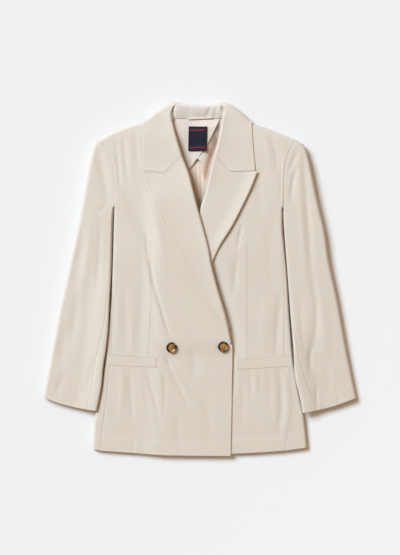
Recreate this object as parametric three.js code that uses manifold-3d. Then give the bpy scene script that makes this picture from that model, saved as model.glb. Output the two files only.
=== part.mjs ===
// Women's double-breasted blazer laid flat on its back, face up, sleeves beside the body.
// Millimetres, +Z up, +X to the wearer's left, +Y towards the collar, origin under the middle.
// Outlines are tables of points on a drawing grid (x to the right, y down), one square = pitch.
import * as THREE from 'three';
import { mergeVertices } from 'three/addons/utils/BufferGeometryUtils.js';
import Module from 'manifold-3d';

const pitch = 2.2;
const gridX = 199.8;
const gridY = 278.65;
const panel = 1.5;
const lapelCloth = 1.6;
const backCloth = 1.2;
const seam = 0.35;
const layerGap = 1.2;
const foldRadius = 10;
const collarWrap = 3;
const collarLift = 2.6;
const overlapLift = 3;
const overlapOnLapel = 2.4;
const rollRadius = 5;
const rollFullness = 2.4;
const buttonDiameter = 23.5;
const buttonHeight = 4.2;

// Height of the laid body and sleeves above the table, by grid row.
const bodyCrown = [[96, 19], [120, 21.5], [140, 24], [205, 25.5], [250, 25], [300, 20.5], [350, 17.5],
  [400, 15], [456, 12]];
const sleeveCrown = [[120, 23], [140, 24], [205, 24], [260, 22], [320, 19.5], [370, 17.5], [414, 15]];

// Folds and seams of the body.
const shoulderRight = [[100.4, 139.4], [111.7, 132.8], [122, 128.6], [133.4, 124.7], [140, 123],
  [146.4, 122], [152.8, 117.8], [160.5, 111.8], [168, 107.8], [173.5, 106.4]];
const shoulderLeft = [[295.2, 139.6], [282.2, 134.5], [265.9, 128], [255.4, 124.6], [248.4, 123],
  [242.4, 118.2], [236, 112.4], [229, 108.2], [222.5, 106.8]];
const armholeRight = [[114.6, 208.4], [114.6, 203], [115.1, 196], [115.2, 187.4], [114.8, 177.6],
  [113.2, 165.6], [109.8, 155.3], [104.6, 146.1], [100.4, 139.4]];
const armholeLeft = [[282.4, 209.4], [282.7, 203], [282.9, 192.2], [283.2, 179.8], [284.4, 167.3],
  [286.9, 156.5], [290.6, 148.6], [295.2, 139.6]];
const foldRight = [[113.9, 209], [114.3, 224], [113.9, 245], [112.6, 272], [111, 303], [109.6, 320],
  [107.8, 340], [103.6, 375], [98.6, 402], [96, 411], [93.8, 426.6], [92.4, 448.5]];
const foldLeft = [[283.2, 210], [283.1, 225], [284, 245], [286.1, 275], [287.7, 316], [290, 338],
  [291.7, 352], [295.8, 375], [300.5, 400], [303.7, 414], [305.5, 430], [307.2, 447.2]];
const seamRight = [[114.9, 208.7], [115.3, 224], [115.2, 245], [114.3, 272], [113, 303], [112.4, 325],
  [111.6, 353.6], [109, 372], [107.5, 392], [105, 410], [101.6, 438], [101.2, 450.5]];
const seamLeft = [[282.2, 209.7], [282.2, 225], [282.7, 245], [283.8, 275], [284.4, 310], [284.4, 356],
  [285.4, 370], [288, 401], [286.7, 430], [285.4, 450.4]];
const backSeamRight = [[119, 208], [126, 245], [133, 300], [133, 350], [128, 400], [123, 452.5]];
const backSeamLeft = [[278, 209], [271.6, 245], [266, 300], [267.5, 350], [272.5, 400], [277.5, 452]];

// The wearer's right front laps over the left one.
const edgeRight = [[230.4, 455.6], [231.2, 420], [231.7, 385], [231.7, 345]];
const rollRight = [[231.7, 343], [229, 330.4], [225, 313], [217, 286.2], [211, 262], [209.1, 250.5],
  [204.2, 231], [199.3, 213.6], [196.6, 203.9], [191.8, 184.4], [189, 173.5], [183.2, 158.2]];
const rollRightCollar = [[182.7, 156.8], [177.1, 138.8], [172.2, 119.3], [171.2, 112], [172.6, 106.9]];
const rollLeft = [[163.1, 343], [165.8, 330.4], [170, 313], [178.5, 286], [185, 262], [188.4, 250.5],
  [194, 231], [199.3, 213.6], [201, 206], [204.2, 196.3], [209.1, 176.8], [212.9, 159.4], [213.9, 155.6]];
const rollLeftCollar = [[214.4, 154], [217.2, 144.2], [219.4, 133.4], [222.1, 118.2], [223.8, 112],
  [223.6, 107.4]];
const edgeLeft = [[163.8, 454.6], [163.4, 420], [163.1, 385], [163.1, 345]];
const hemRight = [[101.2, 450.5], [130, 452.5], [160, 454.7], [195, 455.4], [230.4, 455.6]];
const hemLeft = [[163.8, 454.6], [195, 454.4], [231, 453.5], [258, 452.3], [285.4, 450.4]];
const lapelRight = [[229.6, 343.6], [226.4, 329.4], [220, 318], [209.3, 305], [194.2, 282], [186.2, 270],
  [176.8, 250.5], [166, 230], [156, 209], [149.7, 193], [146, 182], [142.6, 171.4]];
const lapelLeft = [[165.2, 343.6], [168.2, 329.4], [174.8, 317.6], [185.8, 304], [200.6, 282],
  [208.6, 268], [212.6, 260], [220.4, 244], [231.2, 226.7], [242, 206], [250.7, 187.6], [257, 172]];
const gorgeRight = [[183.2, 158.2], [179.2, 158.4], [172, 166], [165, 173.6], [153, 172.6], [142.6, 171.4]];
const gorgeLeft = [[213.9, 155.6], [219, 159.6], [225.6, 166.6], [231, 173.2], [243, 172.6], [257, 172]];

// Collar: silhouette of its fold, its free edge in front and behind.
const collarTop = [[144.6, 119.4], [152.6, 113.4], [160.5, 107.9], [168, 103.6], [173.4, 101.8],
  [184.4, 103.6], [199.5, 104.8], [211.7, 104.6], [222.6, 102.8], [229.4, 103.9], [238.8, 109.8],
  [250.6, 120.6]];
// Ribs from the roll to the free edge: roll, crossing of the fold line, free edge (in front or beneath).
const collarRibs = [
  [182.6, 156.4, 142.6, 170.2, 142.6, 170.2], [179.6, 147, 143, 160, 143, 160],
  [176.8, 137.6, 143.6, 149, 143.6, 149], [173.7, 126.4, 144.2, 134, 144.2, 134],
  [172, 117.4, 144.6, 119.6, 144.6, 119.6], [171.3, 113.2, 152.6, 113.4, 149.4, 122.4],
  [171.6, 110.6, 161, 107.6, 154.4, 123.4], [172.9, 108.4, 168, 103.6, 166, 125.4],
  [176.2, 107, 174.4, 101.9, 175.4, 126.8], [184.4, 106.8, 184.4, 103.6, 184.6, 127.6],
  [199.5, 108, 199.5, 104.8, 199.5, 128], [211.7, 107.8, 211.7, 104.6, 212, 127.6],
  [219.6, 107, 221.4, 102.9, 221, 126.8], [222.7, 108.4, 228, 103.4, 230, 125.4],
  [223.8, 110.8, 236, 107.7, 242, 123.4], [223.3, 114, 244, 114, 246.4, 122.6],
  [222.2, 118.4, 250.6, 120.8, 250.6, 120.8], [220.6, 127, 251.7, 134, 251.7, 134],
  [218.6, 137.6, 252.8, 149, 252.8, 149], [216.4, 147, 253.8, 160, 253.8, 160],
  [214.4, 154, 254.8, 170.4, 254.8, 170.4],
];
const standTop = [[174.4, 109.6], [184.4, 108.4], [199.5, 109.4], [211.7, 109.2], [221.4, 109.4]];
const standSeam = [[174.6, 117], [186, 117.8], [199, 118], [212, 117.8], [221, 117]];

// Inside the neck: facing down to a point on each side, lining below it.
const facingTop = [[175.5, 118.4], [186, 119], [199, 119.2], [212, 119], [220.5, 118.4]];
const facingEdge = [[170, 163], [181, 170], [189.6, 170.6], [193, 164], [196.4, 158.4], [201.6, 154],
  [204, 164], [206, 178], [211, 180], [217, 172]];
const liningFoot = [[176, 228], [188, 230], [200, 231], [212, 229], [221, 226]];
const labelBox = { x: 197.7, y: 139, width: 40, height: 53, turn: -0.02 };
const loopBox = { x: 200.2, y: 119.9, width: 54, height: 4, turn: 0.02 };

// Pockets: top edge and bottom edge.
const pocketRight = [[[107.6, 354.8], [131, 356.6], [156.5, 358.4]], [[106.9, 364.4], [131, 365.9], [156, 367.1]]];
const pocketLeft = [[[237.7, 360], [264, 358.4], [291, 356.6]], [[237.7, 369.2], [264, 367.6], [292, 365.5]]];
const buttons = { decorative: [171.7, 347.3], fastened: [223.1, 346.4] };

// Sleeves: outer edge from the shoulder point, inner edge from the underarm, cuff from inner to outer.
const outerRight = [[100, 139.2], [96.5, 141.2], [94.2, 144.9], [92.5, 150.1], [90.2, 159.9],
  [87.9, 171.3], [86.1, 181.7], [80.5, 213], [74.9, 240], [67.9, 272.3], [60.2, 307.3], [52.4, 348],
  [43.3, 396.8]];
const innerRight = [[113, 208.8], [111.9, 225], [110.9, 245], [110.4, 270], [110.2, 300],
  [109.7, 330], [106.5, 355], [104.4, 366], [102.3, 387], [97, 410.4]];
const cuffRight = [[97, 410.4], [76.3, 407.2], [56.7, 402], [43.3, 396.8]];
const outerLeft = [[295.6, 139.4], [299.9, 142.4], [303.4, 144.8], [306.1, 149.9], [309.1, 160.5],
  [311.5, 171.5], [314, 183.9], [316.9, 198.5], [324.5, 231], [328.8, 260], [336.6, 296],
  [346.5, 349.4], [356.3, 397.6]];
const innerLeft = [[284.1, 209.8], [284.9, 225], [286.3, 245], [289.6, 296], [292.4, 330],
  [292.9, 352], [294.5, 374.7], [298.8, 394], [302.8, 412.4]];
const cuffLeft = [[302.8, 412.4], [329.6, 407], [356.3, 397.6]];
// Distance of the visible sleeve seam from the inner edge, by grid row.
const sleeveSeamRight = [[208, 9], [290, 7], [324, 9], [352, 17], [387, 20], [412, 21]];
const sleeveSeamLeft = [[208, 9], [300, 6], [330, 6], [355, 10], [382, 21], [412, 27]];

// Soft folds: from x, from y, to x, to y, half width in squares, depth in mm.
const bodyFolds = [
  [144, 216, 149, 258, 6, 1.2], [154, 292, 169, 340, 6, 1.5], [168, 358, 188, 402, 6, 1.4],
  [238, 222, 243, 264, 6, 1.3], [122, 146, 124, 186, 6.5, 1.3], [263, 372, 264, 404, 6, 1.0],
];
const sleeveFolds = [
  [98, 150, 105, 190, 5.5, 2.0], [84, 236, 76, 284, 6, 1.3], [66, 326, 60, 366, 6, 1.6],
  [296, 160, 291, 198, 5, 1.8], [305, 160, 312, 262, 5.5, 2.0], [314, 282, 318, 350, 6, 1.4],
];

const inset = (rows, dx) => rows.map(([x, y]) => [x + dx, y]);
const mm = ([x, y]) => new THREE.Vector3((x - gridX) * pitch, (gridY - y) * pitch, 0);
const gx = (x) => x / pitch + gridX;
const gy = (y) => gridY - y / pitch;
const clamp = (v) => Math.min(1, Math.max(0, v));
const smooth = (v) => { const q = clamp(v); return q * q * (3 - 2 * q); };
const arc = (d, r) => Math.sqrt(1 - (1 - clamp(d / r)) ** 2);

function curve(...tables) {
  const line = new THREE.CatmullRomCurve3(tables.flat().map(mm), false, 'centripetal');
  line.arcLengthDivisions = 300;
  line.trace = line.getSpacedPoints(90);
  return line;
}

function table(rows, key) {
  let i = 1;
  while (i < rows.length - 1 && key > rows[i][0]) i += 1;
  const [a, va] = rows[i - 1];
  const [b, vb] = rows[i];
  const q = clamp((key - a) / (b - a));
  return va + (vb - va) * (0.5 * q + 0.5 * smooth(q));
}

function distance(x, y, trace) {
  let best = 1e9;
  for (let i = 1; i < trace.length; i += 1) {
    const a = trace[i - 1];
    const b = trace[i];
    const dx = b.x - a.x;
    const dy = b.y - a.y;
    const t = clamp(((x - a.x) * dx + (y - a.y) * dy) / (dx * dx + dy * dy));
    best = Math.min(best, (x - a.x - t * dx) ** 2 + (y - a.y - t * dy) ** 2);
  }
  return Math.sqrt(best);
}

function dents(x, y, folds) {
  let sum = 0;
  for (const [ax, ay, bx, by, width, depth] of folds) {
    const px = gx(x);
    const py = gy(y);
    const len = (bx - ax) ** 2 + (by - ay) ** 2;
    const t = clamp(((px - ax) * (bx - ax) + (py - ay) * (by - ay)) / len);
    const d = Math.hypot(px - ax - t * (bx - ax), py - ay - t * (by - ay));
    sum += depth * Math.exp(-((d / width) ** 2)) * (0.35 + 0.65 * Math.sin(Math.PI * (0.15 + 0.7 * t)));
  }
  return sum;
}

const shoulders = { right: curve(shoulderRight), left: curve(shoulderLeft) };
const folds = { right: curve(foldRight), left: curve(foldLeft) };
const rolls = { right: curve(rollRight, rollRightCollar), left: curve(rollLeft, rollLeftCollar) };
const silhouette = curve(collarTop);
const sleeves = {
  right: { inner: curve(innerRight), outer: curve(outerRight), cuff: curve(cuffRight),
    cap: curve([[113, 208.8]], inset(armholeRight.slice(1), -0.3)), seam: sleeveSeamRight },
  left: { inner: curve(innerLeft), outer: curve(outerLeft), cuff: curve(cuffLeft),
    cap: curve([[284.1, 209.8]], inset(armholeLeft.slice(1), 0.3)), seam: sleeveSeamLeft },
};

// Rounded rim of the body: 0 on a side or shoulder fold, 1 on the flat of the panels.
function bodyRim(x, y) {
  const side = x < 0 ? 'right' : 'left';
  const a = distance(x, y, shoulders[side].trace);
  const b = distance(x, y, folds[side].trace);
  return arc(a, foldRadius) * arc(b, foldRadius);
}
const bodyHigh = (x, y) => table(bodyCrown, gy(y)) - dents(x, y, bodyFolds);
function bodyTop(x, y) {
  const high = bodyHigh(x, y);
  const middle = table(bodyCrown, gy(y)) / 2;
  return middle + (high - middle) * bodyRim(x, y);
}
// Under the neck the back lies on the collar.
function backLift(x, y) {
  return collarLift * (1 - smooth((gy(y) - 131) / 16)) * (1 - smooth((Math.abs(gx(x) - 198) - 52) / 10));
}
function backLow(x, y) {
  const middle = table(bodyCrown, gy(y)) / 2;
  const low = backLift(x, y);
  return middle - (middle - low) * bodyRim(x, y);
}
// How much the right front stands off the left one beneath it.
function overLift(x, y) {
  const beside = smooth((gx(x) - 141) / 21);
  const onLapel = 1 - smooth((gy(y) - 338) / 22);
  return beside * (overlapLift + overlapOnLapel * onLapel) * smooth((gy(y) - 160) / 42);
}

// Closed wall from a grid of points on its outer skin and the normals there.
function wall(name, material, thick, rows, normals) {
  const m = rows.length;
  const n = rows[0].length;
  const points = [...rows.flat(), ...rows.flatMap((row, i) => row.map((p, j) => (
    p.clone().addScaledVector(normals[i][j], -thick))))];
  const id = (i, j, skin) => skin * m * n + i * n + j;
  const index = [];
  const quad = (a, b, c, d) => index.push(a, b, c, a, c, d);
  for (let i = 0; i < m - 1; i += 1) {
    for (let j = 0; j < n - 1; j += 1) {
      quad(id(i, j, 0), id(i, j + 1, 0), id(i + 1, j + 1, 0), id(i + 1, j, 0));
      quad(id(i, j, 1), id(i + 1, j, 1), id(i + 1, j + 1, 1), id(i, j + 1, 1));
    }
  }
  for (let j = 0; j < n - 1; j += 1) {
    quad(id(0, j, 0), id(0, j, 1), id(0, j + 1, 1), id(0, j + 1, 0));
    quad(id(m - 1, j, 0), id(m - 1, j + 1, 0), id(m - 1, j + 1, 1), id(m - 1, j, 1));
  }
  for (let i = 0; i < m - 1; i += 1) {
    quad(id(i, 0, 0), id(i + 1, 0, 0), id(i + 1, 0, 1), id(i, 0, 1));
    quad(id(i, n - 1, 0), id(i, n - 1, 1), id(i + 1, n - 1, 1), id(i + 1, n - 1, 0));
  }
  return solid(name, material, points, index);
}

function solid(name, material, points, index) {
  let volume = 0;
  for (let k = 0; k < index.length; k += 3) {
    const [a, b, c] = [points[index[k]], points[index[k + 1]], points[index[k + 2]]];
    volume += a.dot(b.clone().cross(c));
  }
  if (volume < 0) index.reverse();
  const geometry = new THREE.BufferGeometry();
  geometry.setAttribute('position', new THREE.Float32BufferAttribute(points.flatMap((p) => [p.x, p.y, p.z]), 3));
  geometry.setIndex(index);
  geometry.computeVertexNormals();
  const mesh = new THREE.Mesh(geometry, material);
  mesh.name = name;
  return mesh;
}

// Patch between four curves: u runs along bottom and top, v along the two sides.
function patch(bottom, top, sideA, sideB) {
  const [b0, b1, t0, t1] = [bottom.getPointAt(0), bottom.getPointAt(1), top.getPointAt(0), top.getPointAt(1)];
  return (u, v) => {
    const p = bottom.getPointAt(u).multiplyScalar(1 - v).addScaledVector(top.getPointAt(u), v);
    p.addScaledVector(sideA.getPointAt(v), 1 - u).addScaledVector(sideB.getPointAt(v), u);
    p.addScaledVector(b0, -(1 - u) * (1 - v)).addScaledVector(b1, -u * (1 - v));
    return p.addScaledVector(t0, -(1 - u) * v).addScaledVector(t1, -u * v);
  };
}

function slope(height, x, y) {
  const e = 0.4;
  return new THREE.Vector3(
    (height(x - e, y) - height(x + e, y)) / (2 * e),
    (height(x, y - e) - height(x, y + e)) / (2 * e),
    1,
  ).normalize();
}

// Panel that follows a height function over a patch; rim rows lie on a fold and face outwards.
function panelOver(name, material, thick, flat, height, us, vs, onFold = () => null, face = 1) {
  const columns = (v) => (typeof us === 'function' ? us(v) : us);
  const rows = vs.map((v) => columns(v).map((u) => {
    const p = flat(u, v);
    p.z = height(p.x, p.y);
    return p;
  }));
  const normals = rows.map((row, i) => row.map((p, j) => (
    onFold(columns(vs[i])[j], vs[i], p) ?? slope(height, p.x, p.y).multiplyScalar(face))));
  return wall(name, material, thick, rows, normals);
}

const steps = (n) => Array.from({ length: n + 1 }, (_, i) => i / n);
// Rows from the hem up: wide apart on the body, closer along the armhole, crowded at the shoulder fold.
const rowsUp = (under, body, armhole, rim) => [
  ...steps(body).map((q) => under * q),
  ...steps(armhole).slice(1).map((q) => under + (0.97 - under) * q),
  ...steps(rim).slice(1).map((q) => 0.97 + 0.03 * Math.sin((Math.PI / 2) * q)),
];

const cream = (hex) => new THREE.MeshStandardMaterial({ color: hex, roughness: 0.88, metalness: 0 });

const group = new THREE.Group();
const add = (mesh) => { group.add(mesh); return mesh; };

// Outward, level normal of a shoulder fold.
function outward(p) {
  const line = shoulders[p.x < 0 ? 'right' : 'left'];
  let t = 0;
  let best = 1e9;
  line.trace.forEach((q, i) => { const d = q.distanceToSquared(new THREE.Vector3(p.x, p.y, 0)); if (d < best) { best = d; t = i; } });
  const a = line.trace[Math.max(0, t - 1)];
  const b = line.trace[Math.min(line.trace.length - 1, t + 1)];
  const n = new THREE.Vector3(b.y - a.y, a.x - b.x, 0).normalize();
  return n.y < 0 ? n.negate() : n;
}

// Fronts.
function sideLine(seamTable, armhole) {
  const line = curve([...seamTable].reverse(), armhole.slice(1));
  line.under = curve(seamTable).getLength() / line.getLength();
  return line;
}
const sides = {
  right: { front: sideLine(seamRight, armholeRight), back: sideLine(backSeamRight, inset(armholeRight, 0.36)) },
  left: { front: sideLine(seamLeft, armholeLeft), back: sideLine(backSeamLeft, inset(armholeLeft, -0.3)) },
};
const bodyRows = 12;
const frontRightFlat = patch(
  curve(hemRight),
  curve(shoulderRight.slice(0, 9), [[171.4, 106.6]]),
  sides.right.front,
  curve(edgeRight, inset(rollRight, -0.95), inset(rollRightCollar.slice(0, 3), -0.95), [[171.4, 106.6]]),
);
const frontLeftFlat = patch(
  curve(hemLeft),
  curve([[224.8, 107]], shoulderLeft.slice(0, 8).reverse()),
  curve(edgeLeft, inset(rollLeft, 0.95), inset(rollLeftCollar.slice(0, 4), 0.95), [[224.8, 107]]),
  sides.left.front,
);
const onShoulder = (u, v, p) => (v === 1 ? outward(p) : null);
const overTop = (x, y) => bodyTop(x, y) + overLift(x, y);
const rimUp = (height) => (x, y) => Math.max(height(x, y), table(bodyCrown, gy(y)) / 2 + seam / 2);
add(panelOver('front_right', cream('#e4dbce'), panel, frontRightFlat, rimUp(overTop),
  steps(12), rowsUp(sides.right.front.under, bodyRows, 7, 3), onShoulder));
add(panelOver('front_left', cream('#e1d8cb'), panel, frontLeftFlat, rimUp(bodyTop),
  steps(10), rowsUp(sides.left.front.under, bodyRows, 7, 3), onShoulder));

// Back: flat on the table, rising to the shoulder seams and over the collar at the neck.
const backFlat = patch(
  curve([[123.2, 452.6], [160, 454.9], [199, 455.2], [240, 453.6], [277.3, 452]]),
  curve(shoulderRight.slice(0, 9), [[172.6, 110.6], [178, 117.2], [199, 118.6], [219, 117.2], [224, 110.6]],
    shoulderLeft.slice(0, 8).reverse()),
  sides.right.back,
  sides.left.back,
);
const onBackShoulder = (u, v, p) => (v === 1 && (gx(p.x) < 170 || gx(p.x) > 226) ? outward(p) : null);
const rimDown = (x, y) => Math.min(backLow(x, y), table(bodyCrown, gy(y)) / 2 - seam / 2);
add(panelOver('back', cream('#ddd4c6'), backCloth, backFlat, rimDown,
  steps(12), rowsUp(sides.right.back.under, bodyRows, 7, 3), onBackShoulder, -1));

// Strip cut from a ring of section points: from and to are lengths along the ring.
function along(points) {
  const sums = [0];
  for (let i = 1; i < points.length; i += 1) sums.push(sums[i - 1] + points[i].distanceTo(points[i - 1]));
  const at = (s) => {
    let i = 1;
    while (i < points.length - 1 && sums[i] < s) i += 1;
    const q = (s - sums[i - 1]) / (sums[i] - sums[i - 1] || 1);
    return points[i - 1].clone().lerp(points[i], q);
  };
  return { at, length: sums[sums.length - 1], sums };
}

// Wall around a fold: each row is a ring section with its own start and end length.
function strip(name, material, thick, sections, count, sign) {
  const rows = sections.map(({ ring, from, to }) => steps(count).map((q) => ring.at(from + (to - from) * q)));
  const normals = rows.map((row, i) => row.map((p, j) => {
    const { ring, from, to } = sections[i];
    const s = from + (to - from) * (j / count);
    const tangent = ring.at(s + 0.6).sub(ring.at(s - 0.6));
    const a = rows[Math.max(0, i - 1)][j];
    const b = rows[Math.min(rows.length - 1, i + 1)][j];
    return tangent.cross(b.clone().sub(a)).normalize().multiplyScalar(sign);
  }));
  return wall(name, material, thick, rows, normals);
}
const level = steps(40).map((q) => (1 - Math.cos(Math.PI * q)) / 2);

// Side panels: from the front seam round the side fold to the back seam underneath.
function sidePanel(name, side, sign) {
  const { front, back } = sides[side];
  const rows = steps(bodyRows).map((v) => {
    const [a, f, b] = [front.getPointAt(v * front.under), folds[side].getPointAt(1 - v),
      back.getPointAt(v * back.under)];
    const ring = [];
    for (let k = -4; k <= 40; k += 1) {
      const q = k < 0 ? k / 12 : level[k];
      const p = a.clone().lerp(f, q);
      p.z = bodyTop(p.x, p.y);
      if (k < 40) ring.push(p);
    }
    for (let k = 0; k <= 60; k += 1) {
      const p = f.clone().lerp(b, (k / 60) ** 2);
      p.z = Math.min(backLow(p.x, p.y), table(bodyCrown, gy(p.y)) / 2);
      ring.push(p);
    }
    const line = along(ring);
    return { ring: line, from: line.sums[4] + seam, to: line.length - 2 * seam };
  });
  return strip(name, cream('#e0d7ca'), panel, rows.reverse(), 14, sign);
}
add(sidePanel('side_panel_right', 'right', 1));
add(sidePanel('side_panel_left', 'left', -1));

// Sleeves: flattened tubes; the inner edge rests on the side of the body.
const rests = { right: [[262, 0], [298, 1], [420, 1]], left: [[305, 0], [345, 1], [420, 1]] };
function sleeveAt(side, x, y) {
  const row = gy(y);
  const di = distance(x, y, sleeves[side].inner.trace);
  const raised = table(rests[side], row) * (table(bodyCrown, row) + 0.9);
  const low = raised * (1 - smooth((di - 8) / 22));
  const flat = table(sleeveCrown, row);
  const high = flat + table(rests[side], row) * 6.8 * (1 - smooth((di - 5) / 48)) - dents(x, y, sleeveFolds);
  const middle = (flat + low + table(rests[side], row) * 6.8 * (1 - smooth((di - 5) / 48))) / 2;
  const rim = arc(di, foldRadius) * arc(distance(x, y, sleeves[side].outer.trace), foldRadius);
  return { top: middle + (high - middle) * rim, bottom: middle - (middle - low) * rim };
}

function sleeve(side) {
  const { inner, outer, cuff, cap } = sleeves[side];
  const flat = patch(cap, cuff, inner, outer);
  const vs = [0, 0.03, 0.065, 0.105, ...steps(11).map((q) => 0.15 + 0.85 * q)];
  const rows = vs.map((v) => {
    const ring = [];
    const width = flat(0, v).distanceTo(flat(1, v));
    for (let k = 0; k < 40; k += 1) {
      const p = flat(level[k], v);
      ring.push(p.setZ(sleeveAt(side, p.x, p.y).top));
    }
    for (let k = 40; k >= 0; k -= 1) {
      const p = flat(level[k], v);
      ring.push(p.setZ(sleeveAt(side, p.x, p.y).bottom));
    }
    // The ring starts and ends at the inner edge; it is carried on past both ends.
    const loop = along([...ring, ...ring, ...ring.slice(0, 40)]);
    const start = loop.sums[ring.length];
    const round = loop.sums[2 * ring.length] - start;
    const row = gy(flat(0, v).y);
    const front = start + table(sleeves[side].seam, row) + 4;
    const back = loop.sums[ring.length + 41] + width * 0.16;
    return { loop, start, round, front, back };
  });
  const sign = side === 'right' ? 1 : -1;
  add(strip(`sleeve_top_${side}`, cream('#e2d9cc'), panel,
    rows.map(({ loop, front, back }) => ({ ring: loop, from: front + seam, to: back - seam })), 16, sign));
  add(strip(`sleeve_under_${side}`, cream('#ddd4c7'), panel,
    rows.map(({ loop, round, front, back }) => (
      { ring: loop, from: back - round + seam, to: front - seam })), 13, sign));
}
sleeve('right');
sleeve('left');

// Lapels: on the fronts, full along the roll, curling down over the front's edge there.
function rollOver(base, side, fullness) {
  return (x, y) => {
    const d = distance(x, y, rolls[side].trace);
    const high = base(x, y) + layerGap + lapelCloth + fullness(x, y) * Math.exp(-d / 15);
    const low = base(x, y) + seam;
    return low + (high - low) * arc(d, rollRadius);
  };
}
const lapelHeight = {
  right: rollOver(overTop, 'right', (x, y) => rollFullness * smooth((342 - gy(y)) / 50)),
  left: rollOver(bodyTop, 'left', (x, y) => rollFullness * (1 - smooth((gy(y) - 176) / 24))),
};
function lapel(side, rollTable, edgeTable, gorgeTable) {
  const roll = curve(rollTable);
  const tip = curve([rollTable[0], edgeTable[0]]);
  const flat = patch(tip, curve(gorgeTable), roll, curve(edgeTable));
  const columns = (v) => {
    const width = flat(0, v).distanceTo(flat(1, v));
    const curl = Math.min(6, width * 0.5) / width;
    return [0, 0.09 * curl, 0.36 * curl, curl, ...steps(6).slice(1).map((q) => curl + (1 - curl) * q)];
  };
  const away = (u, v) => {
    if (u > 0) return null;
    const t = roll.getTangentAt(v);
    const n = new THREE.Vector3(t.y, -t.x, 0).normalize();
    return n.dot(flat(0.1, v).sub(flat(0, v))) > 0 ? n.negate() : n;
  };
  const rows = [0, 0.04, 0.09, ...steps(14).map((q) => 0.15 + 0.85 * q)];
  add(panelOver(`lapel_${side}`, cream('#e6ddd1'), lapelCloth, flat, lapelHeight[side], columns, rows, away));
}
lapel('right', [[231.2, 342], ...rollRight.slice(1)], lapelRight, gorgeRight);
lapel('left', [[163.6, 342], ...rollLeft.slice(1)], lapelLeft, gorgeLeft);

// Collar fall: each section runs from the roll over the front, or over the neck fold to lie beneath.
function collarHigh(x, y) {
  const row = gy(y);
  const middle = table(bodyCrown, row) / 2;
  const high = bodyHigh(x, y) + overLift(x, y) + layerGap + lapelCloth;
  return middle + (high - middle) * arc(distance(x, y, silhouette.trace), foldRadius + collarWrap);
}
function collarSection(s) {
  const at = s * (collarRibs.length - 1);
  const i = Math.min(collarRibs.length - 2, Math.floor(at));
  const q = at - i;
  const rib = collarRibs[i].map((v, k) => {
    const [a, b, c] = [collarRibs[Math.max(0, i - 1)][k], collarRibs[i + 1][k],
      collarRibs[Math.min(collarRibs.length - 1, i + 2)][k]];
    return v + 0.5 * q * (b - a + q * (2 * a - 5 * v + 4 * b - c + q * (3 * (v - b) + c - a)));
  });
  const [roll, cross, edge] = [mm(rib.slice(0, 2)), mm(rib.slice(2, 4)), mm(rib.slice(4, 6))];
  if (at <= 4 || at >= 16) cross.copy(edge);
  const under = cross.distanceTo(edge);
  const end = at < collarRibs.length / 2 ? 0 : 1;
  const near = Math.max(0, 1 - (end ? collarRibs.length - 1 - at : at) / 3.2);
  const gorge = end ? gorgeLine.left : gorgeLine.right;
  const side = end ? 'left' : 'right';
  const points = [];
  for (let k = 0; k <= 48; k += 1) {
    const t = 1 - (1 - k / 48) ** (under > 0.5 ? 2 : 1);
    const p = roll.clone().lerp(cross, t);
    const bend = gorge.getPointAt(t).sub(gorge.getPointAt(0).lerp(gorge.getPointAt(1), t));
    p.addScaledVector(bend, smooth(near));
    const d = distance(p.x, p.y, rolls[side].trace);
    const curl = smooth((gy(p.y) - 107) / 12);
    const high = collarHigh(p.x, p.y) + rollFullness * curl * Math.exp(-d / 15);
    const low = collarHigh(p.x, p.y) - layerGap - lapelCloth + seam;
    p.z = high + (low - high) * curl * (1 - arc(d, rollRadius));
    points.push(p);
  }
  if (under > 0.5) {
    for (let k = 1; k <= 48; k += 1) {
      const p = cross.clone().lerp(edge, (k / 48) ** 2);
      const middle = table(bodyCrown, gy(p.y)) / 2;
      p.z = middle * (1 - arc(distance(p.x, p.y, silhouette.trace), foldRadius + collarWrap));
      points.push(p);
    }
  }
  const line = along(points);
  return { ring: line, from: 0, to: line.length };
}
// Sections stand closer where the free edge passes over the shoulder fold.
const collarStations = [[0, 3, 3], [3, 6, 12], [6, 14, 10], [14, 17, 12], [17, 20, 3]].flatMap(([a, b, n]) => (
  steps(n).slice(a ? 1 : 0).map((q) => (a + (b - a) * q) / 20)));
const gorgeLine = {
  right: curve([[182.6, 156.4], [178.8, 157], [171.6, 164.6], [164.6, 172.2], [153, 171.3], [142.6, 170.2]]),
  left: curve([[214.4, 154], [219.6, 158.3], [226.2, 165.4], [231.4, 171.9], [243, 171.3], [254.8, 170.4]]),
};
add(strip('collar_fall', cream('#e5dccf'), lapelCloth, collarStations.map(collarSection), 9, -1));

// Collar stand: from the roll down to the neck seam.
const standFlat = patch(curve([...standSeam]), curve([...standTop]),
  curve([standSeam[0], standTop[0]]), curve([standSeam[4], standTop[4]]));
const standHeight = (x, y) => {
  const row = gy(y);
  const q = clamp((117.9 - row) / 8.8);
  return 5.3 + 13.4 * Math.sin(q * 1.25) ** 1.15 / Math.sin(1.25) ** 1.15;
};
add(panelOver('collar_stand', cream('#ddd3c5'), 1.4, standFlat, standHeight, steps(12), steps(5)));

// Facing, lining, label and hanging loop inside the neck.
const inside = (x, y) => backLow(x, y) + backCloth + 0.9 + 0.9;
const facingFlat = patch(curve([...facingEdge]), curve([...facingTop]),
  curve([facingEdge[0], facingTop[0]]), curve([facingEdge[9], facingTop[4]]));
add(panelOver('neck_facing', cream('#d9bfb0'), 0.9, facingFlat, inside, steps(16), steps(7)));
const below = facingEdge.map(([x, y]) => [x, y + 0.35]);
const liningFlat = patch(curve([...liningFoot]), curve([...below]),
  curve([liningFoot[0], below[0]]), curve([liningFoot[4], below[9]]));
add(panelOver('lining', cream('#e9e2d2'), 0.9, liningFlat, inside, steps(16), steps(7)));

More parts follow.
